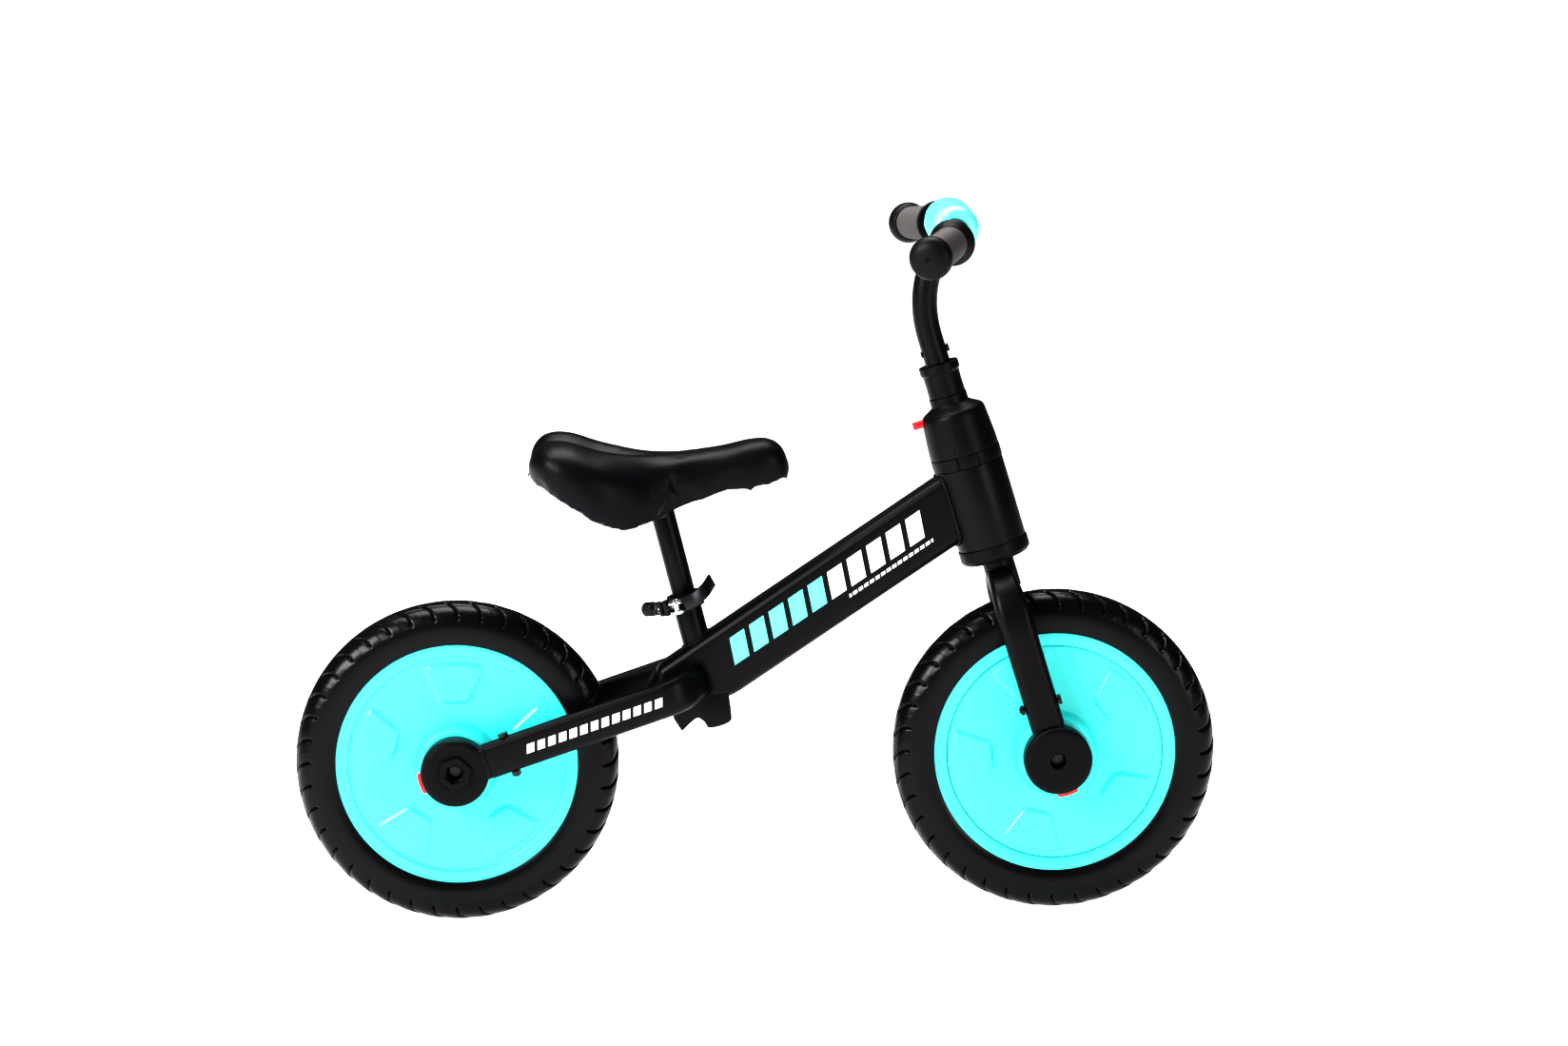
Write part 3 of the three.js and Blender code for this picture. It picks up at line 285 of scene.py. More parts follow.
def mesh_of(name, shapes, where):
    """One mesh of several closed shapes, seams merged and faces outwards."""
    points, faces, first = [], [], 0
    for shape_points, groups in shapes:
        points.append(put(shape_points, where))
        for group in groups:
            faces += (group + first).tolist()
        first += len(shape_points)
    mesh = bpy.data.meshes.new(name)
    mesh.from_pydata(np.vstack(points).tolist(), [], faces)
    work = bmesh.new()
    work.from_mesh(mesh)
    bmesh.ops.remove_doubles(work, verts=work.verts, dist=2e-6)
    bmesh.ops.recalc_face_normals(work, faces=work.faces)
    work.to_mesh(mesh)
    work.free()
    return mesh


def smooth(mesh, crease=32):
    """Smooth shading, kept crisp where faces turn by more than the crease."""
    mesh.shade_smooth()
    mesh.set_sharp_from_angle(angle=math.radians(crease))


def make(name, shapes, where, finish, *stands_for, rides=None, slot=None, crease=32):
    """A finished piece that rides on its node's body and stands for that node."""
    mesh = mesh_of(name, shapes, where)
    smooth(mesh, crease)
    piece = bpy.data.objects.new(name, mesh)
    bpy.context.scene.collection.objects.link(piece)
    mesh.materials.append(finish)
    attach(piece, rides or body_of[stands_for[0]])
    if stands_for:
        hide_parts(*stands_for)
    pieces[name] = piece
    print(f"{name}: {len(mesh.vertices)} points")
    return piece


# %% [markdown]
# ## Shader maths in plain expressions
# A finish varies over a surface: a grain, a cloudy sheen, a printed stripe. Wiring dozens of
# nodes by hand hides the idea. A small class around a socket lets the idea be written as
# arithmetic, and one method adds any other node.

# %% A socket that can be added, multiplied and compared
class Wire:
    """An output socket of a finish's nodes. Arithmetic on it adds Math nodes."""

    def __init__(self, tree, socket=None):
        self.tree, self.socket = tree, socket

    def node(self, kind, settings, *values, out=0, **named):
        """Adds a node of that kind: settings first, then its sockets' values or links."""
        made = self.tree.nodes.new(kind)
        for key, value in settings.items():
            setattr(made, key, value)
        for key, value in (*enumerate(values), *named.items()):
            slot = made.inputs[key.replace("_", " ") if isinstance(key, str) else key]
            if isinstance(value, Wire):
                self.tree.links.new(value.socket, slot)
            elif value is not None:
                slot.default_value = value
        return Wire(self.tree, made.outputs[out])

    def math(self, operation, *terms):
        """A Math node on those wires or numbers."""
        return self.node("ShaderNodeMath", {"operation": operation}, *terms)

    def __add__(self, other):
        return self.math("ADD", self, other)

    def __radd__(self, other):
        return self.math("ADD", other, self)

    def __sub__(self, other):
        return self.math("SUBTRACT", self, other)

    def __rsub__(self, other):
        return self.math("SUBTRACT", other, self)

    def __mul__(self, other):
        return self.math("MULTIPLY", self, other)

    def __rmul__(self, other):
        return self.math("MULTIPLY", other, self)

    def __gt__(self, other):
        return self.math("GREATER_THAN", self, other)

    def __lt__(self, other):
        return self.math("LESS_THAN", self, other)

    def __mod__(self, other):
        return self.math("FLOORED_MODULO", self, other)

    def __abs__(self):
        return self.math("ABSOLUTE", self)

    def mix(self, first, second):
        """The first colour where this wire is 0, the second where it is 1."""
        values = [self, None, None, None, None, None, first, second]
        return self.node("ShaderNodeMix", {"data_type": "RGBA"}, *values, out=2)

    def noise(self, scale, detail=3.0):
        """Cloudy values from 0 to 1 at this wire's coordinates, scale per metre."""
        return self.node("ShaderNodeTexNoise", {}, Vector=self, Scale=scale, Detail=detail)


print("shader maths ready")

# %% [markdown]
# ## Finishes
# Black parts are the hard ones: powder-coated steel, moulded plastic, foam and imitation leather
# are all black, and only their sheen and grain tell them apart. So each finish is given its own
# roughness, its own grain size in real millimetres, and slow cloudy changes that stop a big
# surface from looking like a flat fill.

# %% A finish with a grain
def colour(r, g, b):
    """A linear colour with full cover."""
    return (r, g, b, 1.0)


def new_finish(name, base, rough, grain, relief, cloud=0.12, shine=0.5, metal=0.0, coat=0.0):
    """Base colour and roughness that wander slowly by the cloud's share, and a grain of that
    many bumps per metre and relief in metres. shine, metal and coat are the shader's own
    values. Returns the material, its shader, its coordinates and its wandering colour."""
    material = bpy.data.materials.new(name)
    material.use_nodes = True
    tree = material.node_tree
    shader = tree.nodes["Principled BSDF"]
    spots = Wire(tree).node("ShaderNodeTexCoord", {}, out="Object")
    slow = spots.noise(11.0, 2.0)
    fine = spots.noise(grain, 3.0)
    light, dark = [colour(*[min(1.0, c * k) for c in base]) for k in (1 + cloud, 1 - cloud)]
    tint = slow.mix(dark, light)
    tree.links.new(tint.socket, shader.inputs["Base Color"])
    sheen = slow * (rough * cloud) + fine * (rough * 0.16) + rough * (0.92 - cloud / 2)
    tree.links.new(sheen.socket, shader.inputs["Roughness"])
    bump = fine.node("ShaderNodeBump", {}, Height=fine, Distance=relief, Strength=0.6)
    tree.links.new(bump.socket, shader.inputs["Normal"])
    shader.inputs["Specular IOR Level"].default_value = shine
    shader.inputs["Metallic"].default_value = metal
    shader.inputs["Coat Weight"].default_value = coat
    shader.inputs["Coat Roughness"].default_value = 0.12
    return material, shader, spots, tint


TURQUOISE = (0.07, 0.70, 0.672)
BLACK = (0.0062, 0.006, 0.0072)
powder_black, *_ = new_finish("satin powder coat", BLACK, 0.38, 950, 0.00006, shine=0.2)
mould_black, *_ = new_finish("moulded black", BLACK, 0.42, 1500, 0.00005, shine=0.18)
disc_turquoise, *_ = new_finish("moulded turquoise", TURQUOISE, 0.33, 1300, 0.00003, cloud=0.05)
tread_foam, *_ = new_finish("tyre foam", BLACK, 0.29, 2100, 0.00006, shine=0.22)
chrome, *_ = new_finish("bright plating", (0.78, 0.79, 0.8), 0.16, 700, 0.00001, metal=1.0)
black_plating, *_ = new_finish("black plating", (0.03, 0.03, 0.033), 0.26, 800, 0.00002, metal=0.6)
catch_red, *_ = new_finish("catch red", (0.86, 0.016, 0.022), 0.34, 1500, 0.00003, cloud=0.05)
print("finishes so far:", len(bpy.data.materials))

# %% [markdown]
# ## Tyres
# The tyre is solid foam, so it has no valve and no bead, just a plump section that the rim lips
# bite into. What gives it away as a tyre are the curved cuts across each shoulder. A picture of
# a tread would go flat at the edge of the wheel, where the cuts show against the light, so they
# are cut into the surface itself.

# %% A foam tyre with curved shoulder cuts
CUTS = 40
AROUND_A_CUT = 22
TYRE_R, CORE_R, TYRE_HALF_W = 145, 121, 22.8
CUT_DEPTH, RAMP_DEPTH, RIB_DEPTH = 1.7, 1.0, 0.6


def tyre_shape():
    """The section is r = 121 + 24 |cos p|^0.85, y = 22.8 |sin p|^0.85, signed, for p from -118 to
    118 degrees, closed through the rim seat. A cut's depth is a narrow bell with a long ramp on
    one side, at a place round the wheel that runs back as p grows. A fine groove, one more bell
    of p about 24 degrees, runs round each shoulder."""
    p = np.radians(np.linspace(-118, 118, 97))
    r = CORE_R + (TYRE_R - CORE_R) * np.sign(np.cos(p)) * np.abs(np.cos(p)) ** 0.85
    y = TYRE_HALF_W * np.sign(np.sin(p)) * np.abs(np.sin(p)) ** 0.85
    seat = np.array([[109.1, 16.2], [104.7, 14.8], [104.7, -14.8], [109.1, -16.2]])
    profile = np.vstack([np.stack([r, y], -1), seat])
    lean = np.r_[np.abs(np.degrees(p)), np.full(4, 118.0)][:, None]

    def cut(radius, width, angle):
        sweep = 6.2 * (1 - (1 - np.clip(lean / 68, 0, 1)) ** 2)
        pitch = 360 / CUTS
        stagger = np.where(width > 0, pitch / 2, 0)
        off = (np.degrees(angle) + sweep + stagger) % pitch - pitch / 2
        away = np.radians(off) * TYRE_R
        bell = np.exp(-(away / 1.0) ** 2)
        ramp = np.where(away > 0, np.exp(-away / 6.5), np.exp(away / 0.8))
        there = smoothstep(5, 15, lean) * (1 - smoothstep(62, 74, lean))
        rib = np.exp(-((lean - 24) / 2.2) ** 2)
        depth = there * (CUT_DEPTH * bell + RAMP_DEPTH * ramp) + RIB_DEPTH * rib
        out = np.radians(lean)
        return radius - depth * np.cos(out), width - depth * np.sin(out) * np.sign(width)

    return turned(profile, "y", CUTS * AROUND_A_CUT, reshape=cut)


for end, wheel in (("front", FRONT_WHEEL), ("rear", REAR_WHEEL)):
    make(f"{end}_foam_tyre", [tyre_shape()], wheel, tread_foam, f"{end}_tyre")

# %% [markdown]
# ## Wheel discs
# Each wheel is one turquoise moulding with a press-in cover on its open side. Five raised pads
# stiffen both faces. They could be separate lumps stuck on, but a moulding flows: so the face is
# one surface, a height worked out from the radius and the distance inside each pad's outline.

# %% The face of a disc, with its pads
WEB_FACE = 18.6
PADS = 5
PAD_IN, PAD_OUT, PAD_IN_HALF, PAD_OUT_HALF = 55.5, 92.0, 13.0, 29.0
PAD_PROUD, BLEND = 1.8, 0.55


def pad_height(r, a, first):
    """How proud the face stands at radius r and angle a: 1.8 mm times a smooth step of the
    distance inside the nearest pad, which is the soft least of its distances to the inner edge,
    the outer arc and the slanted sides."""
    pitch = 2 * np.pi / PADS
    a = (a - first + pitch / 2) % pitch - pitch / 2
    x, y = r * np.cos(a), r * np.sin(a)
    slope = (PAD_OUT_HALF - PAD_IN_HALF) / (PAD_OUT - PAD_IN)
    side = (PAD_IN_HALF + slope * (x - PAD_IN) - np.abs(y)) / math.hypot(1, slope)
    edges = [x - PAD_IN, PAD_OUT - r, side]
    inside = -np.log(sum(np.exp(-BLEND * d) for d in edges)) / BLEND
    return PAD_PROUD * smoothstep(-1.2, 2.6, inside)


def face_line(outer, step_from):
    """Radii across a face from the boss to its outer edge, close together where it steps."""
    return np.r_[np.linspace(38.5, 52, 8), np.linspace(53, step_from - 0.6, 58), outer]


def disc_shape(side, first_pad, back, front_edge, step):
    """A disc turned about the axle: its boss, its face with the pads, its edge, then back
    through the points in back. The pads rise only on the face."""
    edge_r = np.array([p[0] for p in front_edge])
    r = face_line(edge_r, step)
    y = np.r_[np.full(len(r) - len(front_edge), WEB_FACE), [p[1] for p in front_edge]]
    boss = [[33, 38.5], [34.2, 38.1], [37, 22], [37.7, 19.4]]
    profile = np.vstack([soften(boss, 1.2, 2), np.stack([r, y], -1), back])
    on_face = (np.arange(len(profile)) >= len(profile) - len(back) - len(r))[:, None]
    on_face = on_face & (np.arange(len(profile)) < len(profile) - len(back))[:, None]

    def raise_pads(radius, height, angle):
        proud = np.where(on_face, pad_height(radius, angle, first_pad), 0)
        return radius, side * (height + proud)

    return turned(profile, "y", 480, reshape=raise_pads)


LAND = [[97.2, 18.8], [97.9, 19.75], [98.8, 20.0], [101, 20.0], [105, 20.0], [107.9, 20.0],
        [108.6, 19.7], [108.8, 19.0]]
RIM_BACK = [[108.8, 14.5], [104.4, 14.5], [104.4, -14.5], [108.8, -14.5], [108.8, -19.2],
            [108.3, -19.9], [107.6, -20.0], [98.0, -20.0], [97.3, -19.6], [97.1, -18.9],
            [97.1, -17.0], [100.9, -16.6], [100.9, 15.6], [18, 15.6], [18, -30.5],
            [13.3, -30.5], [13.3, 38.5]]
COVER_EDGE = [[96.0, 18.6], [96.5, 18.3], [96.7, 17.6]]
COVER_BACK = [[96.7, 10.6], [93.7, 10.6], [93.7, 15.6], [40.6, 15.6], [26.3, 35.5], [15, 35.5],
              [15, 38.5]]
FRONT_PAD, REAR_PAD = math.radians(39), math.radians(90)
for end, wheel, web, pad in (("front", FRONT_WHEEL, 1, FRONT_PAD), ("rear", REAR_WHEEL, -1, REAR_PAD)):
    moulding = disc_shape(web, pad, RIM_BACK, LAND, 96.6)
    make(f"{end}_disc", [moulding], wheel, disc_turquoise, f"{end}_wheel", crease=40)
    cover = disc_shape(-web, pad, COVER_BACK, COVER_EDGE, 95.2)
    make(f"{end}_disc_cover", [cover], wheel, disc_turquoise, f"{end}_wheel_cover", crease=40)

# %% [markdown]
# ## Hub housings and their catches
# A round plastic housing at the foot of each arm holds the axle and hides a catch with a red
# tab, so that the wheel comes out without tools. It is a turned drum with a softened rim. The
# slot for the tab is pressed into the same surface, so that the edge round it stays clean.

# %% Housings, tabs and axle ends
HOUSE_R, HOUSE_IN, HOUSE_OUT = 30.3, 40.0, 62.0
TAB_HALF_Y, TAB_HALF_Z, TAB_R, SLOT_DEPTH = 4.0, 9.2, 33.6, 2.4
HEX_CORNER, HEX_FOOT, HEX_TOP = 16.0, 61.5, 66.0
DRUM_MIDDLE = (HOUSE_IN + HOUSE_OUT) / 2


def housing_shape(side, socket_lip):
    """The drum's profile turned about the axle, pressed in by SLOT_DEPTH where the tab's slot is.
    socket_lip is the radius at which the flat face begins."""
    rim = [[6.3, 50], [6.3, 60.6], [7.7, 62.0 - 1e-3]]
    face = [[socket_lip, HOUSE_OUT], [26.2, HOUSE_OUT], [26.9, 61.55], [28.4, 61.5], [29.6, 60.2],
            [HOUSE_R, 58.6]]
    slot_edges = DRUM_MIDDLE + np.array([4.5, 4.35, 3.2, 0, -3.2, -4.35, -4.5])
    drum = [[HOUSE_R, y] for y in slot_edges]
    back = [[HOUSE_R, 42.8], [29.5, 41.2], [27.6, HOUSE_IN], [5.3, HOUSE_IN], [5.3, 50]]
    profile = np.vstack([soften(np.vstack([rim, face]), 0.9, 3), drum, back])

    def press_slot(r, y, a):
        beside = np.abs(r * np.sin(a)) < TAB_HALF_Z + 0.5
        inside = (np.abs(y - DRUM_MIDDLE) < 4.4) & beside & (np.cos(a) < 0) & (r > 30)
        return np.where(inside, r - SLOT_DEPTH, r), side * y

    return turned(profile, "y", 256, reshape=press_slot)


def tab_shape(side):
    """A tab whose outer face follows the drum, 3.3 mm proud: an arc outline given a width."""
    a = np.radians(np.linspace(180 - 16.3, 180 + 16.3, 17))
    outer = TAB_R * np.stack([np.cos(a), np.sin(a)], -1)
    outline = np.vstack([outer, [[-26.1, -TAB_HALF_Z], [-26.1, TAB_HALF_Z]]])
    corner = np.r_[0.9, np.full(15, 0.3), 0.9, 0.3, 0.3]
    return moved(plate(outline, TAB_HALF_Y, 0.7, corner, 4), y=side * DRUM_MIDDLE)


def hexagon(across_corners, low, high, edge=0.5):
    """A six-sided boss along y with a round socket in it, its outer edge broken."""
    a = np.radians(np.arange(6) * 60)
    ring = np.stack([np.cos(a), np.sin(a)], -1)
    ring = soften(ring, 0.05, 3, closed=True)
    sizes = [(across_corners, low), (across_corners, high - edge), (across_corners - edge, high),
             (9.3, high), (8.8, high - 0.6), (8.8, low)]
    points = np.array([np.insert(ring * r, 1, y, axis=1) for r, y in sizes])
    return points.reshape(-1, 3), [grid_faces(len(sizes), len(ring), rows_meet=True)]


for side_name, side in (("right", -1), ("left", 1)):
    make(f"front_housing_{side_name}", [housing_shape(side, 7.9)], FORK_ARM, mould_black,
         f"front_hub_{side_name}")
    boss = hexagon(HEX_CORNER, side * HEX_FOOT, side * HEX_TOP)
    make(f"rear_housing_{side_name}", [housing_shape(side, 12.0), boss], REAR_ARM, mould_black,
         f"rear_hub_{side_name}")
    make(f"front_tab_{side_name}", [tab_shape(side)], FORK_ARM, catch_red, f"front_release_{side_name}")
    make(f"rear_tab_{side_name}", [tab_shape(side)], REAR_ARM, catch_red, f"rear_release_{side_name}")

# %% [markdown]
# ## Fork blades and rear stays
# Both are the same flat-oval steel tube, drawn straight past the wheel and then pulled in to the
# middle. A flat-oval section carried along the bent line gives the whole tube. Near the hub the
# tube slips over the housing's tongue, which shows as a small step, so the section is a touch
# narrower for the first few millimetres.

# %% Arms drawn along their bends
ARM_THICK, BLADE_TALL, STAY_TALL = 15.0, 30.5, 32.5


def arm_shape(side, y, tall, taper, straight_to, lead, pull, end):
    """A flat oval carried from inside the housing along the straight, then round the bend, where
    its height shrinks by the taper."""
    start = straight([24, side * y, 0], [30.6, side * y, 0])
    step = straight([31.4, side * y, 0], [straight_to, side * y, 0], 14)
    curve = bend([straight_to, side * y, 0], [lead, side * y, 0], [pull[0], side * pull[1], 0],
                 [end[0], side * end[1], 0], 30)
    path = np.vstack([start, step, curve[1:]])
    narrow = np.ones((len(path), 2))
    narrow[:2] = [0.88, 0.97]
    narrow[-len(curve):, 1] -= taper * smoothstep(0.3, 0.95, np.linspace(0, 1, len(curve)))
    return carried(flat_oval(ARM_THICK, tall), path, scale=narrow)


for side_name, side in (("right", -1), ("left", 1)):
    blade = arm_shape(side, y=50, tall=BLADE_TALL, taper=0.2, straight_to=112, lead=140,
                      pull=(164, 44), end=(167, 12))
    make(f"fork_tube_{side_name}", [blade], FORK_ARM, powder_black, f"fork_blade_{side_name}")

# %% [markdown]
# ## A printed finish for the frame
# The real frame carries decoration along the main tube and the stays. Any maker's lettering is
# left out; plain slanted bars in turquoise and white take its place, with a fine dashed line
# under them. They are printed, so they belong to the paint: masks made from the tube's own
# length and height, not extra geometry.

# %% Slanted bars masked into the paint
MAIN_RISE = math.radians(33.3)
MAIN_MID = (48.0, 280.9)
PRINT_TURQUOISE = colour(0.16, 0.93, 0.83)
PRINT_WHITE = colour(0.93, 0.93, 0.95)


def along_and_above(spots, x, z, rise):
    """Distances along and above a line through (x, z) mm that rises by that angle, in mm."""
    axes = spots.node("ShaderNodeSeparateXYZ", {}, spots)
    across, up = (Wire(axes.tree, axes.socket.node.outputs[k]) for k in ("X", "Z"))
    dx, dz = across * TO_MM - x, up * TO_MM - z
    c, s = math.cos(rise), math.sin(rise)
    return dx * c + dz * s, dz * c - dx * s


def band(value, low, high):
    """1 between low and high, 0 outside."""
    return (value > low) * (value < high)


def outer_side(spots, reach):
    """1 further than that many mm from the middle of the bike, 0 nearer."""
    axes = spots.node("ShaderNodeSeparateXYZ", {}, spots, out="Y")
    return abs(axes * TO_MM) > reach


def printed_paint(name, x, z, rise, reach, draw):
    """Powder coat with a print: draw(along, above) gives the print's colour and its mask, which
    shows only on faces that far out from the middle."""
    material, shader, spots, tint = new_finish(name, BLACK, 0.38, 950, 0.00006, shine=0.2)
    ink, mask = draw(*along_and_above(spots, x, z, rise))
    mask = mask * outer_side(spots, reach)
    material.node_tree.links.new(mask.mix(tint, ink).socket, shader.inputs["Base Color"])
    return material


def main_print(along, above):
    """Slanted bars, turquoise then white, and a fine dashed line below the white ones."""
    slant = along - above * 0.42
    bars = band(above, -6.7, 16.3) * band(slant, -80, 130) * (((slant + 80) % 21.0) < 15.5)
    dashes = band(above, -14.2, -11.4) * band(slant, 42, 132) * (((slant + 80) % 6.0) < 4.4)
    ink = (slant > 22.5).mix(PRINT_TURQUOISE, PRINT_WHITE)
    return ink, bars + dashes


def stay_print(along, above):
    """A row of small white slanted dashes."""
    slant = along - above * 0.35
    dashes = band(above, -4.0, 4.0) * band(slant, 68, 196) * ((slant - 68) % 10.0 < 7.0)
    return PRINT_WHITE, dashes


main_paint = printed_paint("printed main tube", *MAIN_MID, MAIN_RISE, 17.0, main_print)
stay_paint = printed_paint("printed stay", *hinge_point("rear_wheel_spin"), -STAY_LEAN, 60.0, stay_print)
print("printed finishes ready")

# %% Rear stays
for side_name, side in (("right", -1), ("left", 1)):
    stay = arm_shape(side, y=55, tall=STAY_TALL, taper=0.0, straight_to=196, lead=216,
                     pull=(224, 40), end=(232, 10))
    make(f"stay_tube_{side_name}", [stay], REAR_ARM, stay_paint, f"stay_{side_name}")

# %% [markdown]
# ## The main tube
# One large rounded-rectangle tube carries everything. Behind, its underside is cut up to a blunt
# tail that a plastic plug closes. A plate with a 9 mm rounded edge is exactly that section, and
# the side outline sets the tail. Where the tubes meet, a rippled bead of weld runs round the
# joint, which is what makes a frame look built rather than carved.

# %% Main tube, plug and pedal socket
MAIN_HALF, MAIN_HALF_W = 29.8, 18.0


def on_main(along, above):
    """A point beside the main tube's centre line, as (x, z) in mm."""
    c, s = math.cos(MAIN_RISE), math.sin(MAIN_RISE)
    return [MAIN_MID[0] + along * c - above * s, MAIN_MID[1] + along * s + above * c]


main_outline = [on_main(176, MAIN_HALF), on_main(168, -MAIN_HALF), [-24, 198], [-70, 195],
                [-91, 211], on_main(-142.5, MAIN_HALF)]
make("main_beam", [plate(main_outline, MAIN_HALF_W, 9.0, np.array([1, 1, 14, 8, 6, 7]), 9)], ROW,
     main_paint, "main_tube", crease=24)

socket_outline = [[-24, 205], [-21, 180], [-25, 176.6], [-34, 173.6], [-42.7, 172.5], [-45, 177.5],
                  [-50, 182], [-53, 182], [-59, 177], [-66, 170], [-74, 183], [-70, 200]]
make("pedal_bracket", [plate(socket_outline, 17.5, 1.2, 2.4, 4)], ROW, powder_black, "pedal_socket")

plug_outline = [on_main(-146, 27.5), on_main(-146, 15), on_main(-160, 13), on_main(-163.5, 20.5)]
make("tail_plug", [plate(plug_outline, 11.0, 1.4, 2.2, 5)], ROW, mould_black, "tube_plug")

# %% [markdown]
# ## The steering column
# From the bottom: a plastic cup, the steel head tube, a ring that stops the bar turning too far,
# a tapered cover with the red release button, a clamping collar, and the stem. All are turned
# about the leaning steering axis. The fine seams between them matter more than their shapes, so
# every edge is softened and the gaps stay open.

# %% Turned pieces of the column
def column(name, points, cut, finish, node, reshape=None, around=128):
    """One turned piece of the column, its corners softened."""
    profile = soften(points, cut, 3, closed=True)
    return make(name, [turned(profile, "z", around, reshape=reshape)], STEERING, finish, node)


column("cup", [[13.7, 182.5], [29.3, 182.5], [31.9, 186], [31.9, 196.3], [13.7, 196.3]], 1.0,
       mould_black, "lower_cup")
column("head", [[28.1, 196.6], [31.1, 196.6], [31.1, 270.6], [28.1, 270.6]], 0.5, powder_black,
       "head_tube")


def ring_grooves(r, z, a):
    """Narrow upright grooves in the stop ring, one on each side and one behind."""
    turn = np.degrees(a)
    lines = [188.0, 252.0, 288.0, 72.0]
    near = np.min([np.abs((turn - line + 180) % 360 - 180) for line in lines], axis=0)
    return np.where((near < 1.5) & (r > 31), r - 1.0, r), z


column("stop_ring", [[28.4, 270.9], [31.6, 270.9], [31.6, 281.9], [28.4, 281.9]], 0.6, mould_black,
       "limiter_ring", ring_grooves, 256)


def cover_seam(r, z, a):
    """The moulding's seam: a hairline upright groove on each side of the cover."""
    turn = np.degrees(a)
    near = np.min([np.abs((turn - line + 180) % 360 - 180) for line in (255.0, 75.0)], axis=0)
    waist = smoothstep(286, 290, z) * (1 - smoothstep(306, 311, z))
    return r - 0.7 * np.exp(-(near / 0.8) ** 2) * waist * (r > 25), z


column("column_cover",
       [[31.4, 282.2], [31.0, 292], [29.9, 306], [29, 318.2], [27.2, 321.2], [18.5, 326.2],
        [17, 327.4], [17, 335.2], [13.7, 335.2], [13.7, 322], [24.4, 317], [28.8, 282.2]],
       [0.6, 3, 3, 4, 3, 1.6, 0.8, 0.5, 0.5, 1, 1, 0.5], mould_black, "top_cover", cover_seam, 256)


def collar_notch(r, z, a):
    """The collar's top edge drops at front and back, where the stem's pin seats."""
    beside = np.abs(r * np.sin(a)) < 2.6
    return r, np.where(beside & (z > 360), 359.6, z)


column("collar",
       [[11.4, 335.5], [16.5, 335.5], [16.2, 345], [16.5, 356], [18, 357.6], [18, 364.5], [11.4, 364.5]],
       [0.4, 0.8, 2, 1, 0.8, 0.8, 0.4], mould_black, "stem_collar", collar_notch, 256)

button_outline = [[-37.7, 313.85], [-23.5, 313.85], [-23.5, 319.55], [-37.7, 319.55]]
make("release_button", [plate(button_outline, 4.5, 0.6, 0.9, 4)], STEERING, catch_red, "stem_button")

# %% [markdown]
# ## Handlebar
# The stem comes straight up the steering axis and then swings forward in a shallow S to the bar.
# The bar itself is one tube bent back towards the rider. Both are round sections carried along
# curves; drawing them as spline objects would also do, but then the mesh would not close where
# the grips hide its ends.

# %% Stem and bar
def on_axis(height):
    """A point of the steering axis at that height above the axle, in the row frame, in mm."""
    return (STEERING @ np.array([0, 0, height, 1.0]))[:3]


BAR_X, BAR_Z, TUBE_R = 181.0, 618.0, 11.1
bar_middle = np.array([BAR_X, 0, BAR_Z])
stem_path = route(
    straight(on_axis(269.5), on_axis(388), 12),
    bend(on_axis(388), on_axis(433), bar_middle - [18, 0, 28], bar_middle, 48))
make("stem", [carried(circle(TUBE_R, 48), stem_path, up=(0, 1, 0))], ROW, powder_black, "stem_tube")

SWEEP, DROOP = math.radians(16.5), math.radians(4.4)


def grip_line(side):
    """Where a grip starts and which way it points."""
    way = np.array([-math.tan(SWEEP), side, -math.tan(DROOP)])
    return np.array([BAR_X - 5.5, side * 100.0, BAR_Z - 6]), way / np.linalg.norm(way)


def half_bar(side):
    """Half of the bar's centre line, from the middle out to inside the grip."""
    start, way = grip_line(side)
    flat = np.array([BAR_X, side * 57.0, BAR_Z])
    curve = bend(flat, flat + [0, side * 20, 0], start - 18 * way, start - 4 * way, 24)
    return route(straight([BAR_X, 0, BAR_Z], flat, 6), curve, straight(start - 4 * way, start + 84 * way, 8))


bar_path = route(half_bar(-1)[::-1], half_bar(1))
make("bar", [carried(circle(TUBE_R, 48), bar_path)], ROW, powder_black, "handlebar")

# %% [markdown]
# ## Grips
# A child's grip is a soft ribbed sleeve between two guards: a wide flange that keeps the hand off
# the bar, and a mushroom end that covers the tube. The sleeve is a warm grey rubber, the guards
# are darker. Ribs this size catch light, so they are turned into the profile.

# %% Two grips
grip_rubber, *_ = new_finish("ribbed grey rubber", (0.085, 0.078, 0.077), 0.58, 1700, 0.00006, shine=0.25)
guard_rubber, *_ = new_finish("guard rubber", (0.0075, 0.007, 0.008), 0.46, 1500, 0.00006, shine=0.2)
RIB_PITCH = 2.4


def aimed(start, way):
    """Axes at start whose Y points that way."""
    side = np.cross(way, [0, 0, 1.0])
    side /= np.linalg.norm(side)
    return np.vstack([np.stack([side, way, np.cross(side, way), start], -1), [0, 0, 0, 1.0]])


def sleeve_shape():
    """The ribbed sleeve: r = 14.75 + 0.28 cos(2 pi h / pitch) + 0.5 sin(pi t), with t from 0 to 1
    along it, so it is a little stout in the middle."""
    h = np.linspace(7, 76, 180)
    r = 14.75 + 0.28 * np.cos(2 * np.pi * h / RIB_PITCH) + 0.5 * np.sin(np.pi * (h - 7) / 69)
    return turned(np.vstack([np.stack([r, h], -1), [[11.3, 76], [11.3, 7]]]), "y", 72)


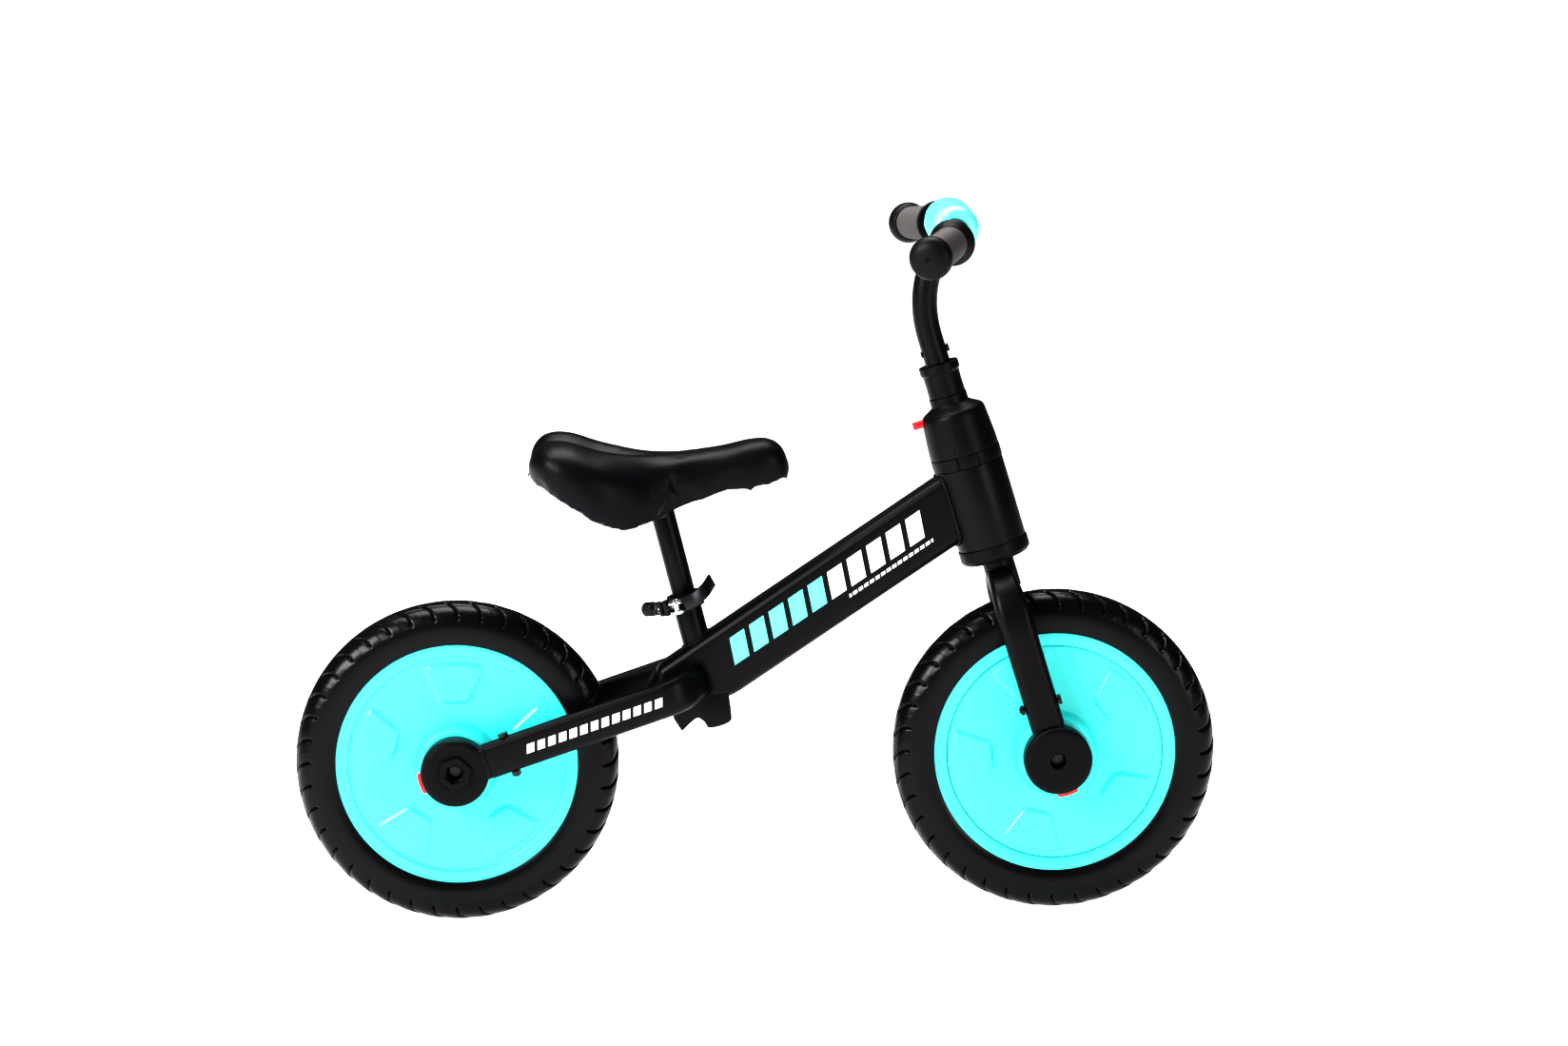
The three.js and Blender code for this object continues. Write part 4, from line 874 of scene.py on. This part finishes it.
def guard_shapes():
    """The inner flange and the mushroom end with its small dimple."""
    flange = soften([[11.3, 0], [19.4, 0], [20.3, 1.0], [20.3, 2.8], [17.5, 6.5], [15.6, 9.4], [11.3, 9.4]],
                    [0.2, 0.8, 0.8, 1, 2, 0.6, 0.2], 3, closed=True)
    end = soften([[11.3, 73], [15.7, 73.5], [17.6, 76], [18.9, 80], [18.7, 84.5], [16.2, 88.4],
                  [11, 90.9], [5, 91.8], [2.3, 91.9], [1.2, 90.6], [0, 90.6]],
                 [0.2, 0.8, 2, 2, 2, 2, 2, 2, 0.5, 0.4, 0], 3)
    end = np.vstack([end, [[0, 85], [11.3, 85]]])
    return [turned(flange, "y", 72), turned(end, "y", 72)]


for side_name, side in (("right", -1), ("left", 1)):
    there = aimed(*grip_line(side))
    make(f"grip_sleeve_{side_name}", [sleeve_shape()], there, grip_rubber, f"grip_{side_name}")
    make(f"grip_guards_{side_name}", guard_shapes(), there, guard_rubber, rides="handlebar",
         slot="black_plastic")

# %% [markdown]
# ## Saddle post, tube and the base under the saddle
# The post slides in a short tube welded to the main tube. Its top is held in a moulded base that
# follows the cushion's underside and stiffens it with ribs, which is all one sees from below.

# %% Post and seat tube
post = soften([[8.9, -70], [10.5, -70], [10.5, 50], [8.9, 50]], 0.5, 2, closed=True)
make("post", [turned(post, "z", 96)], SEAT, powder_black, "seat_post")
seat_tube = soften([[10.8, -127], [12.5, -127], [12.5, -39], [10.8, -39]], 0.5, 2, closed=True)
make("seat_socket", [turned(seat_tube, "z", 96)], SEAT, powder_black, "seat_tube")

# %% [markdown]
# ## Beads of weld
# Where steel tubes meet there is a small rippled bead, laid down in overlapping coins as the
# torch moved. Each bead here follows the true line where the two surfaces meet: the main tube's
# section pushed forward until it meets the head tube, the seat tube's circle slid down to the
# main tube's top, and each stay's oval on the main tube's side.

# %% Lines where tubes meet
COIN = 3.0


def bead(name, line, facing, radius=2.0):
    """A round bead along a closed line. Its radius ripples as radius (1 + 0.13 cos), once a
    coin; facing is the direction the ring of weld looks in."""
    closed_line = np.vstack([line, line[:1]])
    length = np.sum(np.linalg.norm(np.diff(closed_line, axis=0), axis=1))
    coins = int(length / COIN)
    path = evenly(closed_line, 8 * coins + 1)[:-1]
    size = 1 + 0.13 * np.cos(np.arange(len(path)) * 2 * np.pi / 8)
    shape = carried(circle(radius, 10), path, facing, np.stack([size, size], -1), ring=True)
    return make(name, [shape], ROW, powder_black, rides="frame", slot="frame_paint", crease=80)


def top_of_main(y):
    """How far the main tube's rounded top stands above its centre line at that y."""
    past = np.maximum(np.abs(y) - (MAIN_HALF_W - 9), 0)
    return MAIN_HALF - 9 + np.sqrt(np.maximum(81 - past ** 2, 0))


main_way = np.array([math.cos(MAIN_RISE), 0, math.sin(MAIN_RISE)])
main_up = np.array([-math.sin(MAIN_RISE), 0, math.cos(MAIN_RISE)])
main_point = np.array([MAIN_MID[0], 0, MAIN_MID[1]])
corners = [[-MAIN_HALF_W, -MAIN_HALF], [MAIN_HALF_W, -MAIN_HALF], [MAIN_HALF_W, MAIN_HALF],
           [-MAIN_HALF_W, MAIN_HALF]]
section = evenly(soften(corners, 9, 6, closed=True), 120)
start = main_point + section[:, :1] * [0, 1, 0] + section[:, 1:] * main_up
steer_axis, steer_foot = STEERING[:3, 2], STEERING[:3, 3]
flat = np.eye(3) - np.outer(steer_axis, steer_axis)
off, step = (start - steer_foot) @ flat, main_way @ flat
half_b, c = off @ step, np.sum(off ** 2, axis=1) - 31.6 ** 2
reach = (-half_b - np.sqrt(half_b ** 2 - step @ step * c)) / (step @ step)
bead("head_weld", start + reach[:, None] * main_way, main_way, 1.9)

ring = np.insert(circle(12.7, 96), 2, 0, axis=1) @ SEAT[:3, :3].T + SEAT[:3, 3]
seat_axis = SEAT[:3, 2]
fall = (top_of_main(ring[:, 1]) + 0.3 - (ring - main_point) @ main_up) / (seat_axis @ main_up)
bead("seat_weld", ring + fall[:, None] * seat_axis, seat_axis, 1.6)

for side_name, side in (("right", -1), ("left", 1)):
    oval = flat_oval(ARM_THICK + 0.6, STAY_TALL + 0.6)
    line = np.stack([230.5 + oval[:, 0], np.full(len(oval), side * 18.4), oval[:, 1]], -1)
    bead(f"stay_weld_{side_name}", line @ REAR_ARM[:3, :3].T + REAR_ARM[:3, 3], (0, side, 0), 1.6)

# %% [markdown]
# ## The seat clamp
# A split ring, a skewer through its two ears, a knurled nut at one end and a cam lever at the
# other. Its axes are turned 45 degrees about the post. The lever's head is two polished cheeks
# with the skewer's pin between them, and its strap curls round the tube.

# %% Lever, cheeks and nut
turn = np.eye(4)
turn[:2, :2] = np.array([[1, 1], [-1, 1]]) * math.sqrt(0.5)
CLAMP = SEAT @ turn
SKEWER_Y, CAM_X, DOWN_THE_POST = -23.7, 12.3, 44.5
CLAMP[:3, 3] -= DOWN_THE_POST * SEAT[:3, 2]


def rounded(thick, tall, cut):
    """A rectangle section with softened corners."""
    a, b = thick / 2, tall / 2
    return soften([[-a, -b], [a, -b], [a, b], [-a, b]], cut, 3, closed=True)


strap_line = through([[CAM_X + 5, SKEWER_Y + 4, 0.4], [CAM_X + 11, SKEWER_Y + 13, 2.5],
                      [CAM_X + 14, SKEWER_Y + 25, 7], [CAM_X + 11.5, SKEWER_Y + 38.5, 12.5]], 40)
make("lever_strap", [carried(rounded(2.6, 12.6, 0.7), strap_line)], CLAMP, black_plating, "clamp_lever")
cheek = soften([[3.4, 3.0], [7.0, 3.0], [7.0, 5.2], [5.9, 6.5], [3.4, 6.5]], [0.2, 0.5, 1, 1, 0.4], 4,
               closed=True)
cheeks = [moved(turned(cheek * [1, flip], "z", 64), CAM_X, SKEWER_Y) for flip in (1, -1)]
make("lever_cheeks", cheeks, CLAMP, chrome, rides="lever", slot="bright_steel", crease=40)


def knurl(r, x, a):
    """Fine ridges along the nut's thumb end."""
    return np.where((x < -17.6) & (x > -27.6) & (r > 5), r + 0.28 * np.cos(28 * a), r), x


nut_line = soften([[3.0, -5.4], [5.2, -5.4], [5.2, -9.4], [3.0, -9.4]], 0.5, 3, closed=True)
thumb_line = [[3.0, -16.6], [5.7, -16.6], [6.2, -17.2], [6.2, -17.7], [6.2, -27.5], [5.6, -28.2],
              [3.0, -28.2]]
make("nut_thumb", [moved(turned(thumb_line, "x", 168, reshape=knurl), y=SKEWER_Y)], CLAMP,
     black_plating, "clamp_nut")
make("nut_washer", [moved(turned(nut_line, "x", 48), y=SKEWER_Y)], CLAMP, chrome, rides="frame",
     slot="bright_steel")
hex_line = soften([[3.0, -9.7], [5.8, -9.7], [6.4, -10.4], [6.4, -15.6], [5.8, -16.3], [3.0, -16.3]],
                  0.2, 2, closed=True)
make("nut_hexagon", [moved(turned(hex_line, "x", 6), y=SKEWER_Y)], CLAMP, black_plating,
     rides="frame", slot="black_steel", crease=25)

# %% [markdown]
# ## Soft pieces blown up by simulation
# Foam under a stretched skin has a fullness that is hard to draw: it bulges where it is free and
# stays put where it is held. So the saddle and the bar pad are made as closed shells with an even
# skin, ironed smooth, filled with pressure as cloth for a few frames, and keep the shape they
# reach. How far any point may move is capped, so that the piece cannot grow out of its place.

# %% Swelling a shell
SKIN_STEP, PRESSURE, MOST_MOVE, SWELL_FRAMES = 0.003, 4.0, 0.003, 20


def add_object(name, mesh):
    """A mesh as an object of the scene."""
    made = bpy.data.objects.new(name, mesh)
    bpy.context.scene.collection.objects.link(made)
    return made


def settled(source):
    """The mesh that an object's modifiers make."""
    graph = bpy.context.evaluated_depsgraph_get()
    return bpy.data.meshes.new_from_object(source.evaluated_get(graph))


def coordinates(mesh):
    """A mesh's points as rows of x, y, z."""
    flat = np.empty(len(mesh.vertices) * 3)
    mesh.vertices.foreach_get("co", flat)
    return flat.reshape(-1, 3)


def swelled(name, shapes, where):
    """A mesh of the shapes, remeshed evenly, ironed, then swelled as cloth. A point that moves
    further than MOST_MOVE is brought back along its way to that distance."""
    shell = add_object(name + "_shell", mesh_of(name, shapes, where))
    remesh = shell.modifiers.new("even skin", "REMESH")
    remesh.mode, remesh.voxel_size = "VOXEL", SKIN_STEP
    ironed = shell.modifiers.new("ironed", "SMOOTH")
    ironed.factor, ironed.iterations = 0.5, 8
    even = add_object(name + "_even", settled(shell))
    before = coordinates(even.data)
    cloth = even.modifiers.new("swelling", "CLOTH")
    cloth.settings.use_pressure = True
    cloth.settings.uniform_pressure_force = PRESSURE
    cloth.settings.effector_weights.gravity = 0
    cloth.point_cache.frame_start, cloth.point_cache.frame_end = 1, SWELL_FRAMES
    for step in range(1, SWELL_FRAMES + 1):
        bpy.context.scene.frame_set(step)
    mesh = settled(even)
    move = coordinates(mesh) - before
    far = np.linalg.norm(move, axis=1, keepdims=True) + 1e-12
    kept = before + move * np.minimum(1, MOST_MOVE / far)
    mesh.vertices.foreach_set("co", kept.ravel())
    bpy.context.scene.frame_set(1)
    for used in (shell, even):
        bpy.data.objects.remove(used)
    size = [round(v * TO_MM, 1) for edge in (kept.min(0), kept.max(0)) for v in edge]
    print(f"{name}: swelled by {TO_MM * min(MOST_MOVE, far.max()):.1f} mm at most, now {size}")
    return mesh


def make_soft(name, mesh, finish, node):
    """A swelled mesh as a finished padded piece, with one level of subdivision."""
    piece = add_object(name, mesh)
    mesh.materials.clear()
    mesh.materials.append(finish)
    mesh.shade_smooth()
    rounder = piece.modifiers.new("rounder", "SUBSURF")
    rounder.levels = rounder.render_levels = 1
    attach(piece, body_of[node])
    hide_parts(node)
    pieces[name] = piece
    return piece


# %% [markdown]
# ## The saddle
# From the side the saddle dips in the middle and rises to a nose and a tail; from above it is
# narrow in front and spreads to two buttock lobes with a channel between them. It is described
# as stations from tail to nose. Each station joins a point of the top line to a point of the
# lower edge, and has its own half width, lobe and channel.

# %% The saddle's stations
SADDLE_TOP = [[-197.5, 409], [-196, 416], [-189, 427.5], [-177, 434], [-158, 432.5], [-132, 423.5],
              [-100, 417.5], [-65, 417.5], [-30, 422.5], [-4, 430], [12, 431.5], [24, 425],
              [30.5, 411], [32, 403]]
SADDLE_EDGE = [[-197.5, 403], [-194, 399], [-182, 395], [-158, 379.5], [-134, 363.5], [-112, 355],
               [-91, 358.5], [-66, 370.5], [-40, 379.5], [-22, 385], [-14, 384], [12, 389],
               [32, 396.5]]
SADDLE_HALF = [[-197, 20], [-192, 44], [-178, 62], [-156, 68.5], [-132, 66.5], [-110, 56.5],
               [-88, 42], [-62, 31], [-20, 26], [4, 24.5], [16, 22], [25, 17], [29, 11]]
STATIONS = 90


def saddle_frame():
    """Top line, lower edge and half width at each station, all in mm."""
    top, edge = through(SADDLE_TOP, STATIONS), through(SADDLE_EDGE, STATIONS)
    plan = through(SADDLE_HALF, 300)
    middle = (top[:, 0] + edge[:, 0]) / 2
    half = np.interp(middle, plan[:, 0], plan[:, 1])
    return top, edge, half, middle


def column_of(value):
    """One value per station, as a column."""
    return np.asarray(value)[:, None]


def saddle_shape(let_out, longer):
    """At each station, from the middle outwards: the channel, z = top - depth (1 - s^2)^2 out to
    the lobe; the shoulder, a rounded quarter from the lobe to the widest line; the side down to
    the edge; then under, tucked up to where the base sits. Mirrored to the other side. let_out
    moves the surface outwards by that much, as ironing takes some away, and longer pushes both
    ends out."""
    top, edge, half, middle = saddle_frame()
    lobed = 1 - smoothstep(-140, -66, middle)
    lobe, depth = 29 * lobed, 13 * lobed
    tall = top[:, 1] - edge[:, 1]
    widest = edge[:, 1] + 0.46 * tall
    half = np.maximum(half + let_out, 2)
    s = np.linspace(0, 1, 9)[None]
    q = np.linspace(0, np.pi / 2, 15)[None, 1:]
    t = np.linspace(0, 1, 9)[None, 1:]
    crown = top[:, 1] + let_out
    y_in, z_in = column_of(lobe) * s, column_of(crown) - column_of(depth) * (1 - s ** 2) ** 2
    y_out = column_of(lobe) + column_of(half - lobe) * np.sin(q) ** 0.82
    z_out = column_of(widest) + column_of(crown - widest) * np.cos(q) ** 0.82
    y_side = column_of(half) - np.minimum(5.0, 0.3 * column_of(half)) * t ** 2
    z_side = column_of(widest) - column_of(widest - edge[:, 1] + let_out * 0.4) * t
    tuck = np.minimum(7.0, 0.4 * tall)
    y_under = column_of(half) * np.array([[0.86, 0.76, 0.5, 0.2, 0.0]])
    z_under = column_of(edge[:, 1]) + column_of(tuck) * np.array([[0.25, 0.9, 1.0, 1.0, 1.0]])
    y = np.hstack([y_in, y_out, y_side, y_under])
    z = np.hstack([z_in, z_out, z_side, z_under])
    share = np.clip((z - edge[:, 1:]) / np.maximum(column_of(tall), 0.5), 0, 1)
    x = edge[:, :1] + share * (top[:, :1] - edge[:, :1])
    x = x + longer * (column_of(np.linspace(0, 1, STATIONS)) - 0.5) * 2
    right = np.stack([x, -y, z], -1)
    left = np.stack([x, y, z], -1)[:, -2:0:-1]
    points = np.concatenate([right, left], 1)
    n = points.shape[1]
    caps = [np.arange(n)[None], np.arange((STATIONS - 1) * n, STATIONS * n)[None]]
    return points.reshape(-1, 3), [grid_faces(STATIONS, n)] + caps


saddle_skin, saddle_shader, saddle_spots, _ = new_finish(
    "saddle skin", (0.0062, 0.006, 0.0078), 0.40, 700, 0.0001, shine=0.17)
cells = saddle_spots.node("ShaderNodeTexVoronoi", {}, Vector=saddle_spots, Scale=620.0)
pores = saddle_spots.noise(1600, 2.0)
leather = cells.node("ShaderNodeBump", {}, Height=cells + pores * 0.6, Distance=0.00016, Strength=0.55)
saddle_skin.node_tree.links.new(leather.socket, saddle_shader.inputs["Normal"])
cushion = swelled("cushion", [saddle_shape(let_out=0.5, longer=3.5)], ROW)
make_soft("saddle_pad", cushion, saddle_skin, "saddle_cushion")

# %% The ribbed base under it
def base_shape():
    """A shell a little inside the cushion's lower edge, following it from tail to nose. Its
    underside rises by 2.5 (1 - s^2) mm towards the middle, and it is 3 mm thick."""
    _, edge, half, middle = saddle_frame()
    keep = slice(9, STATIONS - 9)
    x, z, w = middle[keep], edge[keep, 1], half[keep] * 0.8
    s = np.linspace(-1, 1, 25)[None]
    y = w[:, None] * s
    low = z[:, None] + 5.2 + 2.5 * (1 - s ** 2)
    under = np.stack(np.broadcast_arrays(x[:, None], y, low), -1)
    over = np.stack(np.broadcast_arrays(x[:, None], -y, low[:, ::-1] + 3.0), -1)
    points = np.concatenate([under, over], 1)
    rows, n = points.shape[:2]
    caps = [np.arange(n)[None], np.arange((rows - 1) * n, rows * n)[None]]
    return points.reshape(-1, 3), [grid_faces(rows, n)] + caps


def rib_shape(x, half_w, low, high, thick=2.4):
    """An upright rib across the base."""
    return moved(plate([[x - thick / 2, low], [x + thick / 2, low], [x + thick / 2, high],
                        [x - thick / 2, high]], half_w, 0.6, 0.6, 3))


ribs = [rib_shape(-150, 44, 382, 392), rib_shape(-128, 44, 370, 384), rib_shape(-34, 16, 387, 398),
        rib_shape(-10, 14, 392, 400)]
tower = soften([[10.8, 46], [14.4, 46], [14.4, 62], [10.8, 62]], 0.8, 2, closed=True)
tower_points, tower_faces = turned(tower, "z", 64)
tower_in_row = (tower_points @ SEAT[:3, :3].T + SEAT[:3, 3], tower_faces)
make("saddle_pan", [base_shape(), tower_in_row] + ribs, ROW, mould_black, "saddle_base")

# %% [markdown]
# ## The bar pad
# A padded sleeve wraps the middle of the bar. Its cover is a thin, slightly shiny material, drawn
# tight round the foam, so it puckers towards both ends and where the stem comes in. The capsule is
# drawn at nearly its full size, and the pressure moves it by only a tenth of a millimetre. The
# puckers are waves that fade towards the middle, and the finest creases are left to the finish.

# %% Pad cover
pad_cover, pad_shader, pad_spots, _ = new_finish(
    "wrinkled turquoise cover", (0.15, 0.78, 0.72), 0.40, 900, 0.00004, cloud=0.06, shine=1.0, coat=0.4)
weave = pad_spots.noise(420, 4.0)
creases = pad_spots.noise(75, 3.0)
crumple = weave.node("ShaderNodeBump", {}, Height=creases + weave * 0.25, Distance=0.0034, Strength=0.6)
pad_cover.node_tree.links.new(crumple.socket, pad_shader.inputs["Normal"])
PAD_R, PAD_HALF = 22.0, 54.5


def pad_shape():
    """A capsule along the bar: r falls from full to 0.74 over the last 9 mm, with puckers of
    0.8 cos(13 a) and 0.5 cos(21 a + 2) mm that grow towards the ends and twist with h."""
    h = np.linspace(-PAD_HALF, PAD_HALF, 61)
    near_end = np.clip((np.abs(h) - PAD_HALF + 9) / 9, 0, 1)
    r = PAD_R * (1 - 0.26 * near_end ** 2.2)
    profile = np.stack([r, h], -1)
    profile = np.vstack([[[0, -PAD_HALF - 0.4]], profile, [[0, PAD_HALF + 0.4]]])

    def pucker(radius, height, a):
        grow = smoothstep(0.35, 0.98, np.abs(height) / PAD_HALF)
        wave = 0.8 * np.cos(13 * a + 0.04 * height) + 0.5 * np.cos(21 * a + 2 - 0.03 * height)
        return radius + np.where(radius > 1, grow * wave, 0), height

    return turned(profile, "y", 120, closed=False, reshape=pucker)


pad_at = spot(BAR_X, BAR_Z)
pad_mesh = swelled("pad", [pad_shape()], pad_at)
make_soft("pad_sleeve", pad_mesh, pad_cover, "bar_pad")

# %% [markdown]
# ## Finishes for the pieces that stay as they are
# Axles, bearings, bolts and the clamp already have the right shape in the working model. They
# only need a real finish, and a fine bevel so that their edges catch the light. The axles are
# given black plating instead of bright steel: painted shade for the dark hollow of the hub
# sockets they sit in.

# %% Metal and plastic on the remaining nodes
FINISH_OF_SLOT = {
    "frame_paint": powder_black, "black_plastic": mould_black, "turquoise_plastic": disc_turquoise,
    "tyre_foam": tread_foam, "grip_rubber": grip_rubber, "bright_steel": chrome,
    "black_steel": black_plating, "red_plastic": catch_red, "turquoise_cover": pad_cover,
    "saddle_skin": saddle_skin,
}
kept = [n for n, node in frame["nodes"].items() if not node.hide_render]
for name in kept:
    node = frame["nodes"][name]
    node.data.materials.clear()
    # Axles get black plating in place of bright steel: painted shade for the dark socket hollow they sit in.
    dark = name.endswith("_axle")
    node.data.materials.append(black_plating if dark else FINISH_OF_SLOT[slot_of[name]])
    bevel = node.modifiers.new("fine edge", "BEVEL")
    bevel.width, bevel.segments, bevel.limit_method = 0.0004, 2, "ANGLE"
    bevel.angle_limit = math.radians(40)
print("nodes kept as they are:", len(kept))

# %% [markdown]
# ## Light, floor and camera
# A plain white studio: a big soft light from high on the left, a wide one overhead that draws the
# bright line along every tube, and a weak fill from the right. The floor is pale and large, and
# glows a little, so that it stays white to its far edge. Black parts reflect all that white, so
# the picture is developed with strong contrast, which brings them back to a deep black. The
# camera stands well back and a little above the saddle, so the wheels stay nearly round.

# %% The studio
scene = bpy.context.scene
scene.view_settings.view_transform = "Standard"
scene.view_settings.look = "Very High Contrast"


def softbox(name, place, target, width, height, watts):
    """A rectangular soft light at place, facing target, both in metres."""
    data = bpy.data.lights.new(name, "AREA")
    data.shape, data.size, data.size_y, data.energy = "RECTANGLE", width, height, watts
    lamp = bpy.data.objects.new(name, data)
    scene.collection.objects.link(lamp)
    lamp.location = place
    away = Matrix.Translation(place).to_translation() - Matrix.Translation(target).to_translation()
    lamp.rotation_euler = away.to_track_quat("Z", "Y").to_euler()
    return lamp


BIKE_MIDDLE = (0, 0, 0.3)
softbox("key", (-2.4, -2.2, 1.9), BIKE_MIDDLE, width=1.5, height=1.5, watts=128)
softbox("overhead", (-0.2, 0.3, 2.4), BIKE_MIDDLE, width=2.2, height=1.2, watts=62)
softbox("fill", (2.4, -2.6, 1.0), BIKE_MIDDLE, width=1.0, height=1.4, watts=28)

world = bpy.data.worlds.new("studio")
scene.world = world
world.use_nodes = True
sky = world.node_tree.nodes["Background"]
SKY_GLOW = 0.1
seen = Wire(world.node_tree).node("ShaderNodeLightPath", {}, out="Is Camera Ray")
world.node_tree.links.new((seen * (1 - SKY_GLOW) + SKY_GLOW).socket, sky.inputs["Strength"])
sky.inputs["Color"].default_value = colour(1, 1, 1)

floor_mesh = bpy.data.meshes.new("floor")
FAR = 9
floor_corners = [(-FAR, -FAR, 0), (FAR, -FAR, 0), (FAR, FAR, 0), (-FAR, FAR, 0)]
floor_mesh.from_pydata(floor_corners, [], [(0, 1, 2, 3)])
floor = add_object("floor", floor_mesh)
floor_finish, floor_shader, *_ = new_finish("pale floor", (0.9, 0.9, 0.9), 0.9, 30, 0.0001,
                                            cloud=0.01, shine=0.0)
floor_shader.inputs["Emission Color"].default_value = colour(1, 1, 1)
floor_shader.inputs["Emission Strength"].default_value = 0.6
floor_mesh.materials.append(floor_finish)

# %% The camera
YAW, PITCH, ROLL = 0.02272, 0.1541, -0.01573
STAND, LENS, SENSOR = (-0.0581, -3.816, 0.9475), 99.26, 36.0
ahead = np.array([math.sin(YAW) * math.cos(PITCH), math.cos(YAW) * math.cos(PITCH), -math.sin(PITCH)])
right = np.array([math.cos(YAW), -math.sin(YAW), 0])
up = np.cross(right, ahead)
camera_x = right * math.cos(ROLL) + up * math.sin(ROLL)
camera_y = up * math.cos(ROLL) - right * math.sin(ROLL)
stand = np.eye(4)
stand[:3, :3] = np.stack([camera_x, camera_y, -ahead], -1)
stand[:3, 3] = STAND
camera_data = bpy.data.cameras.new("camera")
camera_data.lens, camera_data.sensor_width = LENS, SENSOR
camera = bpy.data.objects.new("camera", camera_data)
camera.matrix_world = Matrix(stand.tolist())
scene.collection.objects.link(camera)
scene.camera = camera
